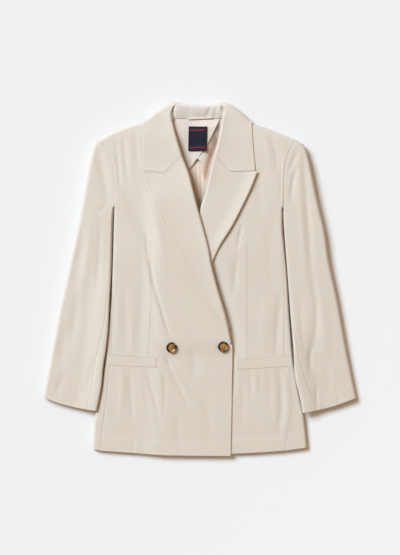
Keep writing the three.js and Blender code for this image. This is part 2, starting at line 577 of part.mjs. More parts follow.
function tag(name, hex, { x, y, width, height, turn }, lift, thick, m, n) {
  const centre = mm([x, y]);
  const flat = (u, v) => new THREE.Vector3((u - 0.5) * width, (v - 0.5) * height, 0)
    .applyAxisAngle(new THREE.Vector3(0, 0, 1), turn).add(centre);
  add(panelOver(name, cream(hex), thick, flat, (a, b) => inside(a, b) + lift, steps(m), steps(n)));
}
tag('label', '#23233a', labelBox, seam + 0.7, 0.7, 4, 5);
tag('hanger_loop', '#cfc3b2', loopBox, seam + 1, 1, 10, 1);

// Pocket welts, lying on the front and side panels.
function pocket(name, [top, bottom], base) {
  const flat = patch(curve(bottom), curve(top), curve([bottom[0], top[0]]), curve([bottom[2], top[2]]));
  add(panelOver(name, cream('#e6ddd0'), 2, flat, (x, y) => base(x, y) + layerGap + 2, steps(12), steps(3)));
}
pocket('pocket_right', pocketRight, overTop);
pocket('pocket_left', pocketLeft, bodyTop);

// Buttons: turned disc with a raised rim and four holes.
const wasm = await Module();
wasm.setup();
function toManifold(geometry) {
  const g = geometry.clone();
  g.deleteAttribute('normal');
  g.deleteAttribute('uv');
  const merged = mergeVertices(g, 1e-4);
  return new wasm.Manifold(new wasm.Mesh({
    numProp: 3,
    vertProperties: merged.attributes.position.array,
    triVerts: new Uint32Array(merged.index.array),
  }));
}
function button(name, [x, y]) {
  const r = buttonDiameter / 2;
  const profile = [[0, 0], [r - 2.6, 0], [r - 0.6, 1.1], [r, 2.4], [r - 0.7, 3.7], [r - 1.8, buttonHeight],
    [r - 3.1, 3.7], [r - 4.2, 2.9], [0, 2.6]].map(([a, b]) => new THREE.Vector2(a, b));
  const disc = new THREE.LatheGeometry(profile, 22);
  disc.rotateX(Math.PI / 2);
  let body = toManifold(disc);
  for (const [hx, hy] of [[1.9, 1.9], [-1.9, 1.9], [-1.9, -1.9], [1.9, -1.9]]) {
    const drill = new THREE.CylinderGeometry(0.95, 0.95, 8, 8);
    drill.rotateX(Math.PI / 2);
    drill.translate(hx, hy, 2);
    body = body.subtract(toManifold(drill));
  }
  const made = body.getMesh();
  const geometry = new THREE.BufferGeometry();
  geometry.setAttribute('position', new THREE.Float32BufferAttribute(made.vertProperties, 3));
  geometry.setIndex(new THREE.BufferAttribute(made.triVerts, 1));
  geometry.computeVertexNormals();
  const mesh = new THREE.Mesh(geometry, new THREE.MeshStandardMaterial({
    color: '#9c6236', roughness: 0.3, metalness: 0 }));
  mesh.name = name;
  const centre = mm([x, y]);
  let top = 0;
  for (let k = 0; k < 24; k += 1) {
    const a = (k / 24) * 2 * Math.PI;
    for (const d of [0, r * 0.5, r]) {
      top = Math.max(top, overTop(centre.x + d * Math.cos(a), centre.y + d * Math.sin(a)));
    }
  }
  mesh.position.set(centre.x, centre.y, top + seam);
  add(mesh);
}
button('button_decorative', buttons.decorative);
button('button_fastened', buttons.fastened);

export default group;
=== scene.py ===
import math
import bmesh
import bpy
import numpy as np
from mathutils import Matrix, Vector


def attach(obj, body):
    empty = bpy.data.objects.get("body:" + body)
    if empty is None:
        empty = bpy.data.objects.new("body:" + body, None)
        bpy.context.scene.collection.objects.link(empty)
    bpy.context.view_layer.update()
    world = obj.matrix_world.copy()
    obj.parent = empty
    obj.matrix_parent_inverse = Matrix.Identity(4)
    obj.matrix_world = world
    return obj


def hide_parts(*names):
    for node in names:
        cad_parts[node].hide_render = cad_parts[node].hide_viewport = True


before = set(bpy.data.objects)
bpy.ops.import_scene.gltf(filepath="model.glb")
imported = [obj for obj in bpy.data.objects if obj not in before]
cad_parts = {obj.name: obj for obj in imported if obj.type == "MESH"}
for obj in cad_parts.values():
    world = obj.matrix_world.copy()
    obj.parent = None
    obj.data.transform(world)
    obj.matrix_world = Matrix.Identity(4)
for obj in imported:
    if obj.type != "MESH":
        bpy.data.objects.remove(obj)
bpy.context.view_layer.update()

# A double-breasted blazer laid flat. Pattern points are squares of a 2.2 mm drawing grid
# (x right, y down); heights, folds and widths are in mm, and each mesh is scaled to metres.
mm = 0.001

pattern = {
    "square": 2.2, "midX": 199.8, "midY": 278.65,  # one square in mm, and the origin in squares
    "panel": 1.5, "lapelCloth": 1.6, "backCloth": 1.2, "seam": 0.06,  # thicknesses, gap at a seam
    "foldRadius": 6.5, "sideRadius": 4.6, "rollRadius": 5.5, "rollFullness": 3.6, "foldDepth": 1.55,
    "apart": 0.1, "floorGap": 0.02,
    "nearCells": (0.5, 1.4, 2.8), "shoulderCells": (0.35, 0.9, 1.8, 3.0, 4.6, 6.6), "tagCells": (0.3, 0.8),
    "bodyCrown": [[96, 19], [120, 21.5], [140, 24], [205, 25.5], [250, 25], [300, 20.5], [350, 17.5],
        [400, 15], [456, 12]],
    "sleeveCrown": [[120, 23], [140, 24], [205, 24], [260, 22], [320, 19.5], [370, 17.5], [414, 15]],
}

outline = {
    "shoulderRight": [[100.4, 139.4], [111.7, 132.8], [122, 128.6], [133.4, 124.7], [140, 123],
        [146.4, 122], [152.8, 117.8], [160.5, 111.8], [168, 107.8], [173.5, 106.4]],
    "shoulderLeft": [[295.2, 139.6], [282.2, 134.5], [265.9, 128], [255.4, 124.6], [248.4, 123],
        [242.4, 118.2], [236, 112.4], [229, 108.2], [222.5, 106.8]],
    "armholeRight": [[114.6, 208.4], [114.6, 203], [115.1, 196], [115.2, 187.4], [114.8, 177.6],
        [113.2, 165.6], [109.8, 155.3], [104.6, 146.1], [100.4, 139.4]],
    "armholeLeft": [[282.4, 209.4], [282.7, 203], [282.9, 192.2], [283.2, 179.8], [284.4, 167.3],
        [286.9, 156.5], [290.6, 148.6], [295.2, 139.6]],
    "foldRight": [[114.3, 209], [113.9, 224], [113.4, 245], [112.5, 272], [110.7, 303], [109.1, 320],
        [107, 340], [103.1, 375], [98.4, 402], [96, 411], [93.8, 426.6], [92.4, 448.5]],
    "foldLeft": [[282.5, 210], [282.6, 225], [284, 245], [286.8, 275], [289.3, 316], [291.3, 338],
        [292.4, 352], [295.8, 375], [300.5, 400], [303.7, 414], [305.5, 430], [307.2, 447.2]],
    "seamRight": [[114.9, 208.7], [115.3, 224], [115.2, 245], [114.3, 272], [113, 303], [112.4, 325],
        [111.6, 353.6], [109, 372], [107.5, 392], [105, 410], [101.6, 438], [101.2, 450.5]],
    "seamLeft": [[281.9, 209.7], [281.5, 225], [282.1, 245], [283.8, 275], [284.4, 310], [284.4, 356],
        [285.4, 370], [288, 401], [286.7, 430], [285.4, 450.4]],
    "backSeamRight": [[119, 208], [126, 245], [133, 300], [133, 350], [128, 400], [123, 452.5]],
    "backSeamLeft": [[278, 209], [271.6, 245], [266, 300], [267.5, 350], [272.5, 400], [277.5, 452]],
    "edgeRight": [[230.4, 455.6], [231.2, 420], [231.7, 385], [231.7, 345]],
    "edgeLeft": [[163.8, 454.6], [163.4, 420], [163.1, 385], [163.1, 345]],
    "hemRight": [[101.2, 450.5], [130, 452.5], [160, 454.7], [195, 455.4], [230.4, 455.6]],
    "hemLeft": [[163.8, 454.6], [195, 454.4], [231, 453.5], [258, 452.3], [285.4, 450.4]],
    "hemBack": [[123.2, 452.6], [160, 454.9], [199, 455.2], [240, 453.6], [277.3, 452]],
    "neckBack": [[172.6, 110.6], [178, 117.2], [199, 118.6], [219, 117.2], [224, 110.6]],
    "rollRight": [[231.7, 343], [229, 330.4], [225, 313], [217, 286.2], [211, 262], [209.1, 250.5],
        [204.2, 231], [199.3, 213.6], [196.6, 203.9], [191.8, 184.4], [189, 173.5], [182.5, 156.6]],
    "rollRightCollar": [[182.4, 156.3], [177.1, 138.8], [172.2, 119.3], [171.2, 112], [172.6, 106.9]],
    "rollLeft": [[163.1, 343], [165.8, 330.4], [170, 313], [178.5, 286], [185, 262], [188.4, 250.5],
        [194, 231], [199.3, 213.6], [201, 206], [204.2, 196.3], [209.1, 176.8], [212.9, 159.4],
        [214.1, 155.2]],
    "rollLeftCollar": [[214.1, 154.9], [217.2, 144.2], [219.4, 133.4], [222.1, 118.2], [223.8, 112],
        [223.6, 107.4]],
    "lapelRight": [[229.6, 343.6], [226.4, 329.4], [220, 318], [209.3, 305], [194.2, 282], [186.2, 270],
        [176.8, 250.5], [166, 230], [156, 209], [149.7, 193], [146, 182], [142.6, 171.3]],
    "lapelLeft": [[165.2, 343.6], [168.2, 329.4], [174.8, 317.6], [185.8, 304], [200.6, 282],
        [208.6, 268], [212.6, 260], [220.4, 244], [231.2, 226.7], [242, 206], [250.7, 187.6],
        [257, 171.8]],
    "gorgeRight": [[182.5, 156.6], [179.6, 158], [176, 161.4], [170, 167.6], [165.8, 172.5],
        [164.6, 173.5], [163, 173.5], [153, 172.6], [142.6, 171.3]],
    "gorgeLeft": [[214.1, 155.2], [219, 159.8], [225, 166.2], [229.4, 171.2], [230.8, 172.3],
        [232.4, 172.3], [243, 172], [257, 171.8]],
}


def inset(rows, dx):
    return [[x + dx, y] for x, y in rows]


def toMm(rows):
    p = np.array(rows, float)
    return np.stack([(p[:, 0] - pattern["midX"]) * pattern["square"],
                     (pattern["midY"] - p[:, 1]) * pattern["square"]], 1)


def gridRow(y):
    return pattern["midY"] - y / pattern["square"]


def gridColumn(x):
    return x / pattern["square"] + pattern["midX"]


def spline(*tables, steps=24, count=400):  # centripetal Catmull-Rom, then evenly spaced points
    p = toMm([row for rows in tables for row in rows])
    p = np.vstack([2 * p[0] - p[1], p, 2 * p[-1] - p[-2]])
    out = []
    for a, b, c, d in zip(p, p[1:], p[2:], p[3:]):
        k = np.cumsum([0] + [max(np.linalg.norm(v), 1e-6) ** 0.5 for v in (b - a, c - b, d - c)])
        t = np.linspace(k[1], k[2], steps, endpoint=False)[:, None]
        a1 = (k[1] - t) / (k[1] - k[0]) * a + (t - k[0]) / (k[1] - k[0]) * b
        a2 = (k[2] - t) / (k[2] - k[1]) * b + (t - k[1]) / (k[2] - k[1]) * c
        a3 = (k[3] - t) / (k[3] - k[2]) * c + (t - k[2]) / (k[3] - k[2]) * d
        b1 = (k[2] - t) / (k[2] - k[0]) * a1 + (t - k[0]) / (k[2] - k[0]) * a2
        b2 = (k[3] - t) / (k[3] - k[1]) * a2 + (t - k[1]) / (k[3] - k[1]) * a3
        out.append((k[2] - t) / (k[2] - k[1]) * b1 + (t - k[1]) / (k[2] - k[1]) * b2)
    return evenly(np.vstack(out + [p[-2][None]]), count)


def lengths(points):
    return np.concatenate([[0], np.cumsum(np.linalg.norm(np.diff(points, axis=0), axis=1))])


def evenly(points, count):
    s = lengths(points)
    t = np.linspace(0, s[-1], count)
    return np.stack([np.interp(t, s, points[:, k]) for k in range(points.shape[1])], 1)


def lineAt(line, t):
    s = np.linspace(0, 1, len(line))
    return np.stack([np.interp(t, s, line[:, k]) for k in range(line.shape[1])], -1)


def clamp(v):
    return np.clip(v, 0, 1)


def smooth(v):
    q = clamp(v)
    return q * q * (3 - 2 * q)


def past(value, start, width):  # 0 up to the start, then easing to 1 over the width
    return smooth((value - start) / width)


def arc(d, r):
    return np.sqrt(np.maximum(0, 1 - (1 - clamp(d / r)) ** 2))


def tableAt(rows, key):
    keys = np.array([r[0] for r in rows], float)
    values = np.array([r[1] for r in rows], float)
    i = np.clip(np.searchsorted(keys, key, side="left"), 1, len(keys) - 1)
    q = clamp((key - keys[i - 1]) / (keys[i] - keys[i - 1]))
    return values[i - 1] + (values[i] - values[i - 1]) * (0.5 * q + 0.5 * smooth(q))


def crown(y):  # how high the body lies in this row
    return tableAt(pattern["bodyCrown"], gridRow(y))


def distanceTo(x, y, line, step=4):
    p = line[::step] if (len(line) - 1) % step == 0 else np.vstack([line[::step], line[-1]])
    best = np.full(np.shape(x), 1e9)
    for a, b in zip(p, p[1:]):
        d = b - a
        t = clamp(((x - a[0]) * d[0] + (y - a[1]) * d[1]) / max(d @ d, 1e-9))
        best = np.minimum(best, (x - a[0] - t * d[0]) ** 2 + (y - a[1] - t * d[1]) ** 2)
    return np.sqrt(best)


def creaseDepth(x, y, creases):
    # each crease is a row of numbers: x and y of the points along it and its half width, all in
    # squares, then its depth in mm, which is negative for a ridge
    total = np.zeros(np.shape(x))
    for *route, width, depth in creases:
        run = toMm(np.reshape(route, (-1, 2)))
        w = width * pattern["square"]
        lo, hi = run.min(0) - 3 * w, run.max(0) + 3 * w
        near = (x > lo[0]) & (x < hi[0]) & (y > lo[1]) & (y < hi[1])
        if not near.any():
            continue
        px, py = x[near], y[near]
        s = lengths(run)
        best = np.full(px.shape, 1e9)
        along = np.zeros(px.shape)
        for i in range(len(run) - 1):
            d = run[i + 1] - run[i]
            t = clamp(((px - run[i][0]) * d[0] + (py - run[i][1]) * d[1]) / (d @ d))
            r = np.hypot(px - run[i][0] - t * d[0], py - run[i][1] - t * d[1])
            closer = r < best
            best = np.where(closer, r, best)
            along = np.where(closer, (s[i] + t * (s[i + 1] - s[i])) / s[-1], along)
        swell = np.sin(np.pi * (0.06 + 0.88 * along)) ** 0.8  # nearly flat at both ends
        total[near] += depth * pattern["foldDepth"] * np.exp(-(best / w) ** 2) * swell
    return total


line = {name: spline(outline[name]) for name in (
    "shoulderRight", "shoulderLeft", "foldRight", "foldLeft", "hemRight", "hemLeft", "hemBack")}
line["rollRightAll"] = spline(outline["rollRight"], outline["rollRightCollar"])
line["rollLeftAll"] = spline(outline["rollLeft"], outline["rollLeftCollar"])
print("pattern lines:", len(line))

# The under front sinks beside the rolled edge that lies over it.
underFolds = [(212, 258, 217, 280, 224, 304, 232, 326, 239, 350, 6.6, 4.8),
    (233, 344, 234, 364, 234, 392, 2.4, 1.2)]

# Soft folds of the laid body, shared by the layers that lie on it.
bodyFolds = [
    # wearer's right chest and shoulder
    (115.5, 142, 118, 160, 120.5, 188, 2.2, 0.8), (124, 136, 125, 158, 128, 182, 2.3, 0.75),
    (129.5, 138, 131, 158, 133, 176, 1.8, -0.4), (135, 133, 136.5, 150, 139, 168, 2.2, 0.6),
    (122, 186, 134, 208, 146, 232, 151, 262, 6.5, 1.9),
    (146.4, 232, 148, 252, 151.6, 276, 154, 290, 1.9, 1.2),
    (143, 236, 145, 256, 148.4, 280, 152, 300, 3.2, -0.5),
    (141, 182, 152, 208, 160, 238, 166, 262, 4.5, -1.1),
    # below the chest, towards the wearer's right button
    (150.8, 264, 155.2, 288, 160.8, 307, 166, 324, 171, 339, 1.5, 1.6),
    (149, 276, 152, 294, 157, 311, 165, 333, 2.8, -0.45), (150.5, 322, 155.5, 334, 163, 344, 2.6, 1.2),
    (166.8, 352.4, 170.6, 357, 176.5, 364, 1.2, 1.1), (165.4, 357.6, 168, 362, 171.4, 367.4, 1.2, 0.9),
    (166.6, 358, 171, 370, 178, 384, 188, 404, 2.4, 1.25),
    (170, 366, 178, 378, 188, 392, 194, 404, 2.8, -0.4), (190, 350, 194, 362, 195, 378, 4.5, 0.9),
    (119, 292, 118.5, 320, 118, 350, 2.6, -0.5), (125, 290, 126, 322, 126, 352, 2.4, 0.5),
    (141, 292, 140, 322, 139, 352, 4.5, 0.8), (132, 320, 132, 340, 133, 355, 2.0, -0.4),
    # gathers below the wearer's right pocket
    (122, 369, 122, 390, 121, 414, 3.0, -0.7), (130, 369, 131, 396, 132.5, 422, 3.2, 1.0),
    (147, 369, 151, 386, 156, 404, 160.5, 424, 2.8, 1.2), (157, 366, 161, 384, 163, 400, 2.4, -0.5),
    (164.5, 372, 164.5, 396, 163, 420, 2.0, 0.5), (139, 370, 141, 390, 144, 412, 2.6, -0.5),
    (134.4, 438, 133.6, 446, 132.6, 453, 1.4, 0.5), (137.4, 438, 137, 446, 136.4, 453, 1.5, -0.3),
    # wearer's left chest
    (262, 130, 267, 146, 270, 166, 3.0, -0.6), (271, 136, 275.5, 152, 277.5, 176, 2.6, 0.9),
    (279.5, 146, 280.5, 166, 280.5, 200, 2.0, 0.6), (262, 166, 258, 190, 262, 216, 5.0, 0.8),
    (242, 224, 239.5, 236, 237.5, 250, 2.0, 1.0), (245.8, 239, 246.6, 243, 1.2, -0.4),
    (237, 256, 235, 276, 233.5, 298, 3.2, 1.1), (272, 214, 270, 250, 272, 290, 6, 0.7),
    # side of the wearer's left front, and gathers below its pocket
    (279.5, 296, 277.5, 324, 276, 354, 3.4, 1.2), (266, 300, 264, 330, 263, 352, 4.5, -0.6),
    (250, 371, 250.5, 384, 252, 400, 2.4, 0.6), (260, 369.5, 260, 380, 261, 392, 2.0, 0.4),
    (255.5, 371, 255.5, 386, 256, 400, 2.2, -0.3), (279, 368, 281, 388, 281.5, 410, 279, 432, 3.2, 1.5),
    (286.4, 368, 288.4, 390, 289.4, 408, 287.4, 430, 1.9, -0.9),
    (268, 370, 269, 390, 269, 412, 3.4, 0.5), (243, 376, 243, 400, 242, 424, 3.6, 0.6),
    # lower fronts
    (205, 392, 208, 414, 210, 440, 6, 0.7), (176, 412, 178, 430, 180, 448, 4.5, 0.6),
]


overlap = {"lift": 3.0, "onLapel": 3.2, "beside": (141, 21), "lapelEnds": (338, 22), "below": (160, 42)}
neckLift = {"rise": 2.6, "below": (131, 16), "column": 198, "beside": (52, 10)}


def bodyRim(x, y):
    right = x < 0
    a = np.where(right, distanceTo(x, y, line["shoulderRight"]), distanceTo(x, y, line["shoulderLeft"]))
    b = np.where(right, distanceTo(x, y, line["foldRight"]), distanceTo(x, y, line["foldLeft"]))
    return arc(a, pattern["foldRadius"]) * arc(b, pattern["sideRadius"])


def bodyHigh(x, y):
    return crown(y) - creaseDepth(x, y, bodyFolds)


def bodyTop(x, y):
    middle = crown(y) / 2
    return middle + (bodyHigh(x, y) - middle) * bodyRim(x, y)


def backLow(x, y):
    middle = crown(y) / 2
    low = neckLift["rise"] * (1 - past(gridRow(y), *neckLift["below"])) * (
        1 - past(np.abs(gridColumn(x) - neckLift["column"]), *neckLift["beside"]))
    return middle - (middle - low) * bodyRim(x, y)


def overLift(x, y):
    beside = past(gridColumn(x), *overlap["beside"])
    onLapel = 1 - past(gridRow(y), *overlap["lapelEnds"])
    return beside * (overlap["lift"] + overlap["onLapel"] * onLapel) * past(gridRow(y), *overlap["below"])


def overTop(x, y):
    return bodyTop(x, y) + overLift(x, y)


# Meshes from grids of points. A rounded edge bulges half its thickness, a cut edge barely.
edgeShape = {"rings": (0.22, 0.5, 0.78), "rounded": 0.5, "cut": 0.06}
hemShape = {"lead": 2, "fade": 4, "groove": 1.6, "grooveDepth": 0.25}


def gridNormals(points):
    du = np.gradient(points, axis=1)
    dv = np.gradient(points, axis=0)
    n = np.cross(du, dv)
    return n / np.maximum(np.linalg.norm(n, axis=2, keepdims=True), 1e-9)


def areaOf(points):
    a, b, c, d = points[:-1, :-1], points[:-1, 1:], points[1:, 1:], points[1:, :-1]
    return 0.5 * (np.linalg.norm(np.cross(b - a, c - a), axis=2) + np.linalg.norm(
        np.cross(c - a, d - a), axis=2)).sum()


def shell(name, points, thick, face=1, rounded=""):
    # closed cloth wall from a grid of outer points; sides named in rounded get a half-round edge
    m, n = points.shape[:2]
    inner = points - gridNormals(points) * face * thick
    inner[..., 2] = np.maximum(inner[..., 2], pattern["floorGap"])
    skins = [points.reshape(-1, 3), inner.reshape(-1, 3)]
    index = np.arange(m * n).reshape(m, n)
    faces = []
    a, b, c, d = index[:-1, :-1], index[:-1, 1:], index[1:, 1:], index[1:, :-1]
    quads = np.stack([a, b, c, d], -1).reshape(-1, 4)
    faces += [quads, quads[:, ::-1] + m * n]
    rim = np.concatenate([index[0, :], index[1:, -1], index[-1, -2::-1], index[-2:0:-1, 0]])
    inward = np.concatenate([
        points[1, :] - points[0, :], points[1:, -2] - points[1:, -1],
        points[-2, -2::-1] - points[-1, -2::-1], points[-2:0:-1, 1] - points[-2:0:-1, 0]])
    outward = -inward / np.maximum(np.linalg.norm(inward, axis=1, keepdims=True), 1e-9)
    sides = ["bottom"] * n + ["right"] * (m - 1) + ["top"] * (n - 1) + ["left"] * (m - 2)
    shares = [edgeShape["rounded" if side in rounded.split() else "cut"] for side in sides]
    bulge = np.array(shares)[:, None] * thick
    flat = points.reshape(-1, 3)[rim]
    back = inner.reshape(-1, 3)[rim]
    start = 2 * m * n
    rings = [rim]
    for k, q in enumerate(edgeShape["rings"]):
        skins.append(flat + (back - flat) * q + outward * bulge * math.sin(math.pi * q))
        rings.append(np.arange(len(rim)) + start + k * len(rim))
    rings.append(rim + m * n)
    for r, s in zip(rings, rings[1:]):
        faces.append(np.stack([np.roll(r, -1), r, s, np.roll(s, -1)], -1))
    faces = np.vstack(faces)
    if face < 0:
        faces = faces[:, ::-1]
    piece = meshObject(name, np.vstack(skins) * mm, faces.tolist())
    piece.data.shade_smooth()
    return piece


def meshObject(name, verts, faces):
    mesh = bpy.data.meshes.new(name)
    mesh.from_pydata([tuple(v) for v in verts], [], faces)
    mesh.validate()
    work = bmesh.new()
    work.from_mesh(mesh)
    bmesh.ops.recalc_face_normals(work, faces=work.faces)
    work.to_mesh(mesh)
    work.free()
    piece = bpy.data.objects.new(name, mesh)
    bpy.context.scene.collection.objects.link(piece)
    return piece


def finishPiece(piece, node, slot, material, points=None, rests="laid", **extra):
    piece.data.materials.append(material)
    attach(piece, "root")
    if node:
        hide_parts(*([node] if isinstance(node, str) else node))
    if points is not None:
        area = areaOf(points) * 1e-6
    return piece


def spaced(length, cell, ends=pattern["nearCells"]):
    # fractions along an edge: fine close to both ends, then even cells
    near = [e / length for e in ends if e < length * 0.2]
    count = max(2, int(round(length / cell)))
    if not near:
        return np.linspace(0, 1, count + 1)
    middle = np.linspace(near[-1], 1 - near[-1], count + 1)
    return np.concatenate([[0], near[:-1], middle, [1 - q for q in near[:-1]][::-1], [1]])


def patch(bottom, top, sideA, sideB, us, vs):
    us = us if us.ndim == 2 else us[None, :]
    u, v = us[..., None], vs[:, None, None]
    bottomLine, topLine = lineAt(bottom, us), lineAt(top, us)
    lineA, lineB = lineAt(sideA, vs)[:, None], lineAt(sideB, vs)[:, None]
    flat = (1 - v) * bottomLine + v * topLine + (1 - u) * lineA + u * lineB
    corners = ((1 - u) * (1 - v) * bottom[0] + u * (1 - v) * bottom[-1]
               + (1 - u) * v * top[0] + u * v * top[-1])
    return flat - corners


def lifted(flat, height):
    return np.dstack([flat, height(flat[..., 0], flat[..., 1])])


def fromEdges(points):
    # how far each point lies from the four sides, along the cloth
    rows = np.concatenate([np.zeros((points.shape[0], 1)), np.cumsum(
        np.linalg.norm(np.diff(points, axis=1), axis=2), axis=1)], 1)
    cols = np.concatenate([np.zeros((1, points.shape[1])), np.cumsum(
        np.linalg.norm(np.diff(points, axis=0), axis=2), axis=0)], 0)
    return {"left": rows, "right": rows[:, -1:] - rows, "bottom": cols, "top": cols[-1:] - cols}


def pressed(points, sides, face=1, depth=0.45, width=1.5):
    # a panel's edge sinks a little into its seam
    away = fromEdges(points)
    sink = np.zeros(points.shape[:2])
    for side in sides.split():
        sink = np.maximum(sink, np.exp(-(away[side] / width) ** 2))
    return points - gridNormals(points) * face * (sink * depth)[..., None]


def hemmed(points, side, face=1, wide=30, rise=0.45):
    # the turned-up hem makes the cloth a little thicker up to its stitch line
    d = fromEdges(points)[side]
    step = 1 - smooth((d - wide + hemShape["lead"]) / hemShape["fade"])
    groove = np.exp(-((d - wide) / hemShape["groove"]) ** 2) * hemShape["grooveDepth"]
    return points + gridNormals(points) * face * (step * rise - groove)[..., None]


def ringStrip(rings, starts, ends, cell, edgeCells=pattern["nearCells"]):
    # strip of a ring section per row, between two lengths along it
    wide = max(np.array(ends) - np.array(starts))
    q = spaced(wide, cell, edgeCells)
    rows = []
    for ring, a, b in zip(rings, starts, ends):
        s = lengths(ring)
        t = a + (b - a) * q
        rows.append(np.stack([np.interp(t, s, ring[:, k]) for k in range(3)], 1))
    return np.stack(rows)


# Shading.
class Wire:
    # one socket of a material, with arithmetic
    def __init__(self, shade, socket):
        self.shade, self.socket = shade, socket

    def calc(self, operation, other=None, swap=False):
        values = {0: self} if other is None else ({0: other, 1: self} if swap else {0: self, 1: other})
        return self.shade.make("ShaderNodeMath", {"operation": operation}, values)[0]

    def __add__(self, other):
        return self.calc("ADD", other)

    def __sub__(self, other):
        return self.calc("SUBTRACT", other)

    def __mul__(self, other):
        return self.calc("MULTIPLY", other)

    def __rsub__(self, other):
        return self.calc("SUBTRACT", other, True)

    def __truediv__(self, other):
        return self.calc("DIVIDE", other)

    def __pow__(self, other):
        return self.calc("POWER", other)

    __radd__ = __add__
    __rmul__ = __mul__


class Shade:
    # a material and the one method that adds its nodes
    def __init__(self, name, **constants):
        self.material = bpy.data.materials.new(name)
        self.material.use_nodes = True
        self.nodes = self.material.node_tree.nodes
        self.surface = self.nodes["Principled BSDF"]
        for key, value in constants.items():
            self.surface.inputs[key.replace("_", " ")].default_value = value

    def make(self, kind, settings=None, values=None):
        node = self.nodes.new(kind)
        for key, value in (settings or {}).items():
            if key == "ramp":
                for where, _ in value[1:-1]:
                    node.color_ramp.elements.new(where)
                for element, (where, colour) in zip(node.color_ramp.elements, value):
                    element.position = where
                    element.color = (*colour, 1)
            else:
                setattr(node, key, value)
        for key, value in (values or {}).items():
            self.join(node.inputs[key], value)
        wires = {number: Wire(self, outlet) for number, outlet in enumerate(node.outputs)}
        return wires | {outlet.name: Wire(self, outlet) for outlet in node.outputs}

    def join(self, socket, value):
        if isinstance(value, Wire):
            self.material.node_tree.links.new(value.socket, socket)
        else:
            socket.default_value = value

    def set(self, **values):
        for key, value in values.items():
            self.join(self.surface.inputs[key.replace("_", " ")], value)
        return self.material

    def place(self):
        return self.make("ShaderNodeTexCoord")["Object"]

    def noise(self, where, scale, detail=2.0, rough=0.5):
        return self.make("ShaderNodeTexNoise", {}, {
            "Vector": where, "Scale": scale, "Detail": detail, "Roughness": rough})["Fac"]

    def bands(self, where, scale, axis="DIAGONAL", twist=0.0):
        return self.make("ShaderNodeTexWave", {"wave_type": "BANDS", "bands_direction": axis}, {
            "Vector": where, "Scale": scale, "Distortion": twist, "Detail": 1.0, "Detail Scale": 2.0})["Fac"]

    def turned(self, where, angle, stretch=(1, 1, 1)):
        return self.make("ShaderNodeMapping", {}, {
            "Vector": where, "Rotation": (0, 0, angle), "Scale": stretch})[0]

    def tint(self, factor, low, high):
        return self.make("ShaderNodeMix", {"data_type": "RGBA"}, {
            0: factor, 6: (*low, 1) if isinstance(low, tuple) else low,
            7: (*high, 1) if isinstance(high, tuple) else high})[2]

    def bump(self, height, strength, depth):
        return self.make("ShaderNodeBump", {}, {"Strength": strength, "Distance": depth, "Height": height})[0]


clothLook = {
    "light": (0.664, 0.601, 0.534), "dark": (0.631, 0.566, 0.496), "sheen": 0.08,
    "ribs": 420.0, "grain": 2600.0, "slub": 900.0, "cloud": 9.0,  # threads and clouds to the metre
    # seam lines: painted shade darkening the colour, beside a real groove of lineDepth
    "line": (0.50, 0.42, 0.34), "lineWidth": 1.5, "lineDepth": 0.9,
    # painted shade beside a fold: its brown tone and how fast it fades
    "paintedShadeTone": (0.69, 0.575, 0.47), "paintedShadeFade": 1.4,
}


def stitched(shade, where, runs, wide):
    # mask along drawn lines: 1 on a line, 0 beyond its width
    spot = shade.make("ShaderNodeSeparateXYZ", {}, {0: where})
    mask = None
    for run in runs:
        points = toMm(run) * mm
        for a, b in zip(points, points[1:]):
            d = (b - a) / np.linalg.norm(b - a)
            dx, dy = spot["X"] - float(a[0]), spot["Y"] - float(a[1])
            along = dx * float(d[0]) + dy * float(d[1])
            along = along.calc("MAXIMUM", 0.0).calc("MINIMUM", float(np.linalg.norm(b - a)))
            away = ((dx - along * float(d[0])) ** 2.0 + (dy - along * float(d[1])) ** 2.0) ** 0.5
            here = 1 - (away / (wide * mm)).calc("MINIMUM", 1.0)
            mask = here if mask is None else mask.calc("MAXIMUM", here)
    return mask


def suiting(name, angle=0.0, light=clothLook["light"], dark=clothLook["dark"], runs=(), paintedShade=(),
            paintedShadeWide=26, paintedShadeShare=0.5, paintedShadeTone=clothLook["paintedShadeTone"]):
    # fine crepe twill: diagonal ribs, slubs along the grain, faint cloudy tone; optional painted shade beside
    # folds and along seam lines
    shade = Shade(name, Sheen_Weight=clothLook["sheen"], Sheen_Roughness=0.5, Specular_IOR_Level=0.25,
                  Subsurface_Weight=0.25, Subsurface_Radius=(1.0, 0.55, 0.35), Subsurface_Scale=0.004)
    where = shade.turned(shade.place(), angle)
    ribs = shade.bands(where, clothLook["ribs"], "DIAGONAL", 0.6)
    grain = shade.noise(shade.turned(where, 0.0, (1, 0.12, 1)), clothLook["grain"], 3.0, 0.6)
    slub = shade.noise(shade.turned(where, 0.0, (0.1, 1, 1)), clothLook["slub"], 2.0, 0.55)
    cloud = shade.noise(where, clothLook["cloud"], 3.0, 0.5)
    tone = cloud * 0.55 + grain * 0.25 + ribs * 0.2
    colour = shade.tint(tone, dark, light)
    height = ribs * 0.5 + grain * 0.35 + slub * 0.3
    if paintedShade:
        # painted shade: a warmer, darker tone of the cloth laid beside a fold, standing in for the shade
        # there
        near = stitched(shade, shade.place(), paintedShade, paintedShadeWide) ** clothLook["paintedShadeFade"] * paintedShadeShare
        colour = shade.tint(near, colour, paintedShadeTone)
    # seam lines: a real groove in the bump, and painted shade darkening the cloth colour along it
    if runs:
        seamGrooveAndShade = stitched(shade, shade.place(), runs, clothLook["lineWidth"])
        colour = shade.tint(seamGrooveAndShade * 0.8, colour, clothLook["line"])
        height = height - seamGrooveAndShade * clothLook["lineDepth"]
    return shade.set(Base_Color=colour, Roughness=0.78 + 0.14 * grain,
                     Normal=shade.bump(height, 0.35, 0.00025))


